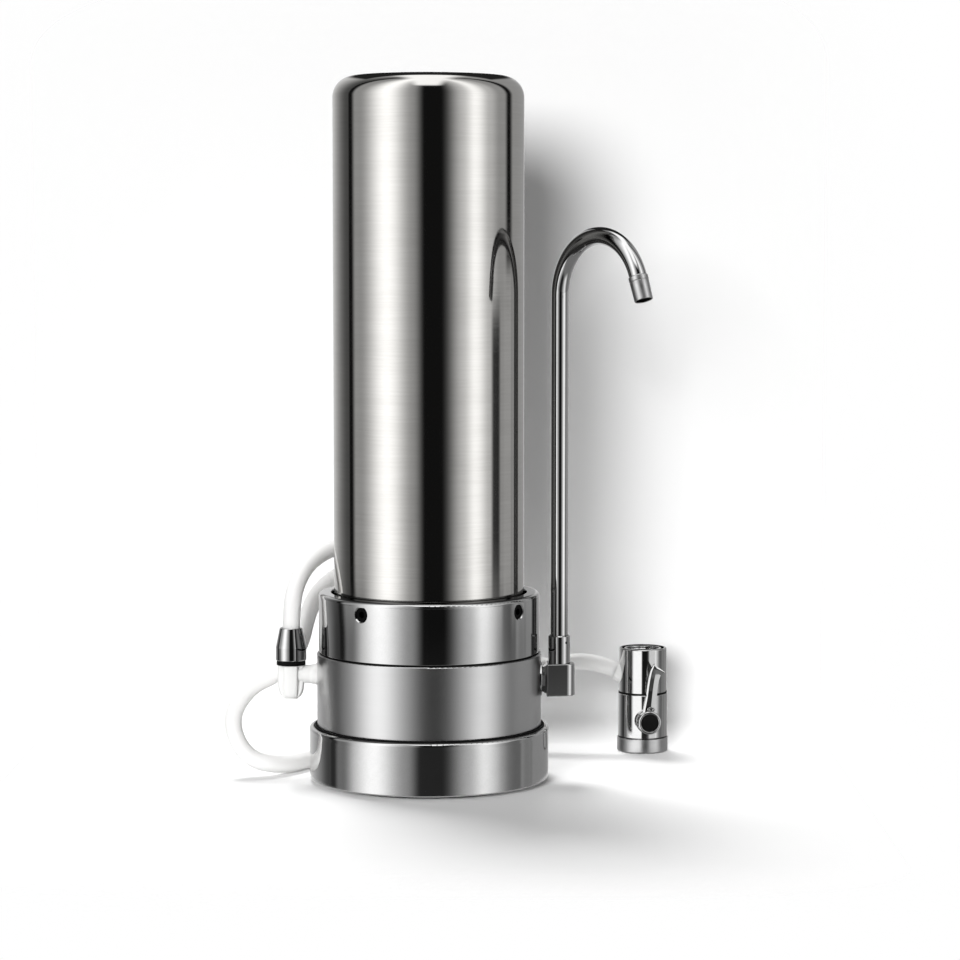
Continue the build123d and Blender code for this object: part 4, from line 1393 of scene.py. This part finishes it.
@dataclass(frozen=True)
class Card:
    """A white card in front of the diverter, which only metal behind it shows."""

    left: float
    right: float
    fade: float
    level: float
    fall: float = 5.0
    y: float = 45.0
    bottom: float = -10.0
    top: float = 78.0

    def build(self) -> None:
        """Hangs the card, bright from behind only and fading out at both sides."""
        material, graph = new_material("card")
        x, _, _ = graph.axes(graph.place())
        shown = graph.out(graph.node("ShaderNodeNewGeometry"), "Backfacing")
        edges = (self.left, self.left + self.fade, self.right - self.fall, self.right)
        white = graph.node("ShaderNodeEmission", inputs={"Color": WHITE, "Strength": self.level})
        graph.cut_out(white, shown * graph.window(x, metres(edges)))
        corners = np.array([[self.left, self.y, self.bottom], [self.right, self.y, self.bottom],
                            [self.right, self.y, self.top], [self.left, self.y, self.top]])
        made = stage_sheet("card", corners, [(0, 1, 2, 3)], material)
        made.visible_camera = False
        made.visible_diffuse = False


@dataclass
class Studio:
    """A white sweep behind and below, two soft lamps, and panels and cards that only the metal shows.

    Turns are degrees from the camera side. Dips, sides, depths and heights are parts of a
    direction of length one: down, to either side, to the back and up. Where two values are
    given, the panel sets in between them; of four, the last two end it.
    """

    left: Tuple[Panel, ...] = (
        Panel(0.38, rise=(3.5, 19.0), fade=(97.0, 105.0)), Panel(1.77, rise=(16.0, 61.5), fade=(36.5, 90.0)),
        Panel(0.08, rise=(108.5, 112.0)), Panel(0.62, rise=(112.0, 170.0)),
    )
    right: Tuple[Panel, ...] = (
        Panel(0.37, rise=(15.5, 41.5), fade=(104.0, 112.0)), Panel(1.14, rise=(21.0, 77.5), fade=(54.5, 80.0)),
        Panel(0.30, rise=(43.5, 58.5), fade=(78.5, 96.0)), Panel(0.36, rise=(115.0, 124.0)),
        Panel(0.33, rise=(160.0, 180.0)),
    )
    gloom: float = 0.008
    lean_dips: Pair = (0.14, 0.17)
    lean: float = 0.06
    near_dips: Pair = (0.11, 0.135)
    near_dim_left: float = 0.11
    near_dim_right: float = 0.22
    outer_turns: Pair = (70.0, 95.0)
    outer_draw: float = 0.05
    outer_lift: float = 0.02
    stand_turns: Edges = (80.0, 86.0, 93.0, 99.0)
    stand_dips: Edges = (0.012, 0.024, 0.10, 0.15)
    stand_dim: float = 0.92
    low_turns: Edges = (72.0, 88.0, 108.0, 125.0)
    low_dim: float = 0.5
    floor_dips: Pair = (0.13, 0.17)
    floor_lift: float = 0.02
    gap_turns: Edges = (101.0, 106.0, 117.0, 123.0)
    gap_dips: Pair = (-0.002, 0.008)
    gap_near_dim: float = 0.45
    gap_level: float = 0.42
    overhead: float = 1.5
    overhead_angles: Pair = (38.0, 50.0)
    overhead_sides: Pair = (0.14, 0.32)
    dark: float = 0.02
    dark_depths: Pair = (0.40, 0.50)
    dark_heights: Pair = (0.04, 0.16)
    dark_side_rise: float = 1.2
    counter: float = 0.22
    counter_angles: Pair = (32.0, 48.0)
    repeat: float = 0.2
    repeat_depths: Pair = (1.2, 1.8)
    fill: float = 0.13
    key_turn: float = -18.0
    key_height: float = 15.5
    key_strength: float = 2.75
    key_angle: float = 26.0
    top_towards: Triple = (-0.18, 0.42, 0.89)
    top_strength: float = 2.12
    top_angle: float = 22.0
    sweep_y: float = 132.0
    sweep_round: float = 20.0
    sweep_steps: int = 24
    sweep_x: Edges = (-340.0, -20.0, 90.0, 300.0)
    sweep_front: Pair = (-330.0, -230.0)
    sweep_top: Pair = (400.0, 480.0)
    mirrored_reach: Pair = (66.0, 80.0)
    mirrored_height: Pair = (5.0, 20.0)
    paper: float = 0.98
    glow: float = 0.03
    cards: Tuple[Card, ...] = (Card(56.0, 119.0, fade=26.0, level=1.45),
                               Card(140.0, 190.0, fade=8.0, level=0.85))

    def bands(self, graph: Graph, turn: Signal, panels: Sequence[Panel]) -> Signal:
        """The light of one side's panels at a bearing, over the gloom between them."""
        return sum((panel.lit(graph, turn) for panel in panels), self.gloom)

    def around(self, graph: Graph, x: Signal, y: Signal, z: Signal) -> Signal:
        """What the metal shows all round.

        The level depends on a direction's bearing from the camera side, by the bands of its own
        side, with a dark stand low on the right and a light gap beyond it. Near the counter the
        bands lean to one side, are dimmer and, on the left, closer in.

        Args:
            graph: the world's graph.
            x: the direction's part to the right.
            y: its part to the back.
            z: its part up.

        Returns:
            The level.
        """
        dip = -z
        bearing = graph.math("ARCTAN2", x, -y) + graph.step(dip, *self.lean_dips) * self.lean
        turn = graph.math("ABSOLUTE", bearing) / pi
        on_right = graph.math("GREATER_THAN", bearing, 0.0)
        near = graph.step(dip, *self.near_dips)
        outer = near * graph.step(turn, *half_turns(self.outer_turns))
        to_right = self.bands(graph, turn, self.right) * (1.0 - near * self.near_dim_right)
        to_left = self.bands(graph, turn * (outer * self.outer_draw + 1.0), self.left)
        to_left = to_left * (1.0 - near * self.near_dim_left) + outer * self.outer_lift
        stand = graph.window(turn, half_turns(self.stand_turns)) * on_right
        stand = stand * graph.window(dip, self.stand_dips)
        low = near * graph.window(turn, half_turns(self.low_turns))
        band = graph.mix(to_left, to_right, on_right) * (1.0 - stand * self.stand_dim)
        band = band * (1.0 - low * self.low_dim) + graph.step(dip, *self.floor_dips) * self.floor_lift
        gap = graph.window(turn, half_turns(self.gap_turns)) * on_right * graph.step(dip, *self.gap_dips)
        return graph.mix(band, self.gap_level, gap * (1.0 - near * self.gap_near_dim))

    def panels(self) -> None:
        """Sets the world.

        Well above and near the middle, what the metal shows goes over to the overhead panel,
        behind that to the dark back, and well below to the counter. A mirror image seen in
        another mirror is dimmer. Matt surfaces get an even fill, and the camera itself sees plain
        white.
        """
        world = bpy.data.worlds.new("studio")
        world.use_nodes = True
        bpy.context.scene.world = world
        graph = Graph(world.node_tree)
        x, y, z = graph.axes(graph.place("Generated"))
        side = graph.math("ABSOLUTE", x)
        over = graph.step(z, *sines(self.overhead_angles)) * (1.0 - graph.step(side, *self.overhead_sides))
        back = graph.step(z - side * self.dark_side_rise, *self.dark_heights)
        back = back * graph.step(y, *self.dark_depths)
        under = graph.step(-z, *sines(self.counter_angles))
        shown = graph.mix(self.around(graph, x, y, z), self.overhead, over)
        shown = graph.mix(graph.mix(shown, self.dark, back), self.counter, under)
        camera, mirror, mirrors = graph.rays()
        shown = shown * (1.0 - graph.step(mirrors, *self.repeat_depths) * (1.0 - self.repeat))
        strength = graph.mix(graph.mix(self.fill, shown, mirror), 1.0, camera)
        shade = graph.node("ShaderNodeBackground", inputs={"Color": WHITE, "Strength": strength})
        graph.node("ShaderNodeOutputWorld", inputs={"Surface": graph.out(shade)})

    @staticmethod
    def lamp(name: str, towards: Triple, strength: float, angle: float) -> None:
        """A soft lamp far away.

        Args:
            name: the lamp's name.
            towards: from the object to the lamp.
            strength: light on a surface that faces it.
            angle: how wide it looks, in degrees; wider is softer.
        """
        light = bpy.data.lights.new(name, "SUN")
        light.energy = strength
        light.angle = radians(angle)
        made = new_object(name, light)
        made.rotation_euler = Vector(towards).to_track_quat("Z", "Y").to_euler()
        made.visible_glossy = False

    def sweep(self) -> None:
        """The white sweep: counter, cove and wall in one sheet, the cove a quarter circle."""
        bend = np.linspace(0.0, pi / 2, self.sweep_steps)
        cove_y = self.sweep_y + self.sweep_round * (np.sin(bend) - 1)
        cove_z = self.sweep_round * (1 - np.cos(bend))
        line = np.concatenate([[[self.sweep_front[0], 0.0]], np.stack([cove_y, cove_z], axis=-1),
                               [[self.sweep_y, self.sweep_top[1]]]])
        ends = np.array([self.sweep_x[0], self.sweep_x[-1]])
        rows = len(line)
        grid = np.concatenate([np.broadcast_to(ends[None, :, None], (rows, 2, 1)),
                               np.broadcast_to(line[:, None, :], (rows, 2, 2))], axis=-1)
        first = np.arange(rows - 1) * 2
        faces = np.stack([first, first + 1, first + 3, first + 2], axis=-1)
        stage_sheet("sweep", grid.reshape(-1, 3), faces.tolist(), self.paper_material())

    def paper_material(self) -> bpy.types.Material:
        """White paper that is clear from behind and at its edges. Metal sees it only close to the base.

        Returns:
            The sweep's material.
        """
        material, graph = new_material("sweep")
        x, y, z = graph.axes(graph.place())
        shown = 1.0 - graph.out(graph.node("ShaderNodeNewGeometry"), "Backfacing")
        shown = shown * graph.window(x, metres(self.sweep_x)) * graph.step(y, *metres(self.sweep_front))
        shown = shown * (1.0 - graph.step(z, *metres(self.sweep_top)))
        camera, mirror, _ = graph.rays()
        reach = graph.math("SQRT", x * x + y * y)
        close = 1.0 - graph.step(reach, *metres(self.mirrored_reach))
        close = close * (1.0 - graph.step(z, *metres(self.mirrored_height)))
        shown = shown * (1.0 - mirror * (1.0 - close))
        paper = graph.node("ShaderNodeBsdfDiffuse", inputs={"Color": (*grey(self.paper), 1.0)})
        seen = graph.math("MAXIMUM", camera, mirror)
        glow = graph.node("ShaderNodeEmission", inputs={"Color": seen, "Strength": self.glow})
        lit = graph.node("ShaderNodeAddShader", inputs={0: graph.out(paper), 1: graph.out(glow)})
        graph.cut_out(lit, shown)
        return material

    def build(self) -> None:
        """Sets up the panels, the lamps, the cards and the sweep."""
        self.panels()
        turn, height = radians(self.key_turn), radians(self.key_height)
        key = (sin(turn) * cos(height), -cos(turn) * cos(height), sin(height))
        self.lamp("key", key, self.key_strength, self.key_angle)
        self.lamp("top", self.top_towards, self.top_strength, self.top_angle)
        for card in self.cards:
            card.build()
        self.sweep()


@dataclass
class Viewpoint:
    """The photograph's camera, for a square picture."""

    place: Triple = (27.9, -1600.0, 294.0)
    pitch: float = -4.6
    lens: float = 110.2
    sensor: float = 36.0

    def build(self) -> None:
        """Adds the camera and makes it the scene's."""
        camera = bpy.data.cameras.new("camera")
        camera.lens = self.lens
        camera.sensor_width = self.sensor
        made = new_object("camera", camera)
        made.location = metres(self.place)
        made.rotation_euler = (radians(90.0 + self.pitch), 0.0, 0.0)
        bpy.context.scene.camera = made
        bpy.context.scene.view_settings.view_transform = "Standard"


def main() -> None:
    """Loads the frame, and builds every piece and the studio."""
    logging.basicConfig(level=logging.INFO, format="%(name)s: %(message)s")
    for leftover in list(bpy.data.objects):
        bpy.data.objects.remove(leftover)
    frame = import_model()
    Viewpoint().build()
    shop = Workshop(frame)
    shop.dress_nodes()
    hose = Hose()
    run = hose.build(shop)
    Dome().build(shop)
    Gasket().build(shop)
    Rim("collar_rim", "collar_ring", "collar", inner=53.65, ledge=54.0, edge=2.15, depth=2.95).build(shop)
    Rim("skirt_rim", "base_skirt", "base", inner=63.2, ledge=64.25, edge=1.75, depth=4.0).build(shop)
    Spout().build(shop)
    Inlet().build(shop)
    Diverter().build(shop)
    Studio().build()


if __name__ == "__main__":
    main()
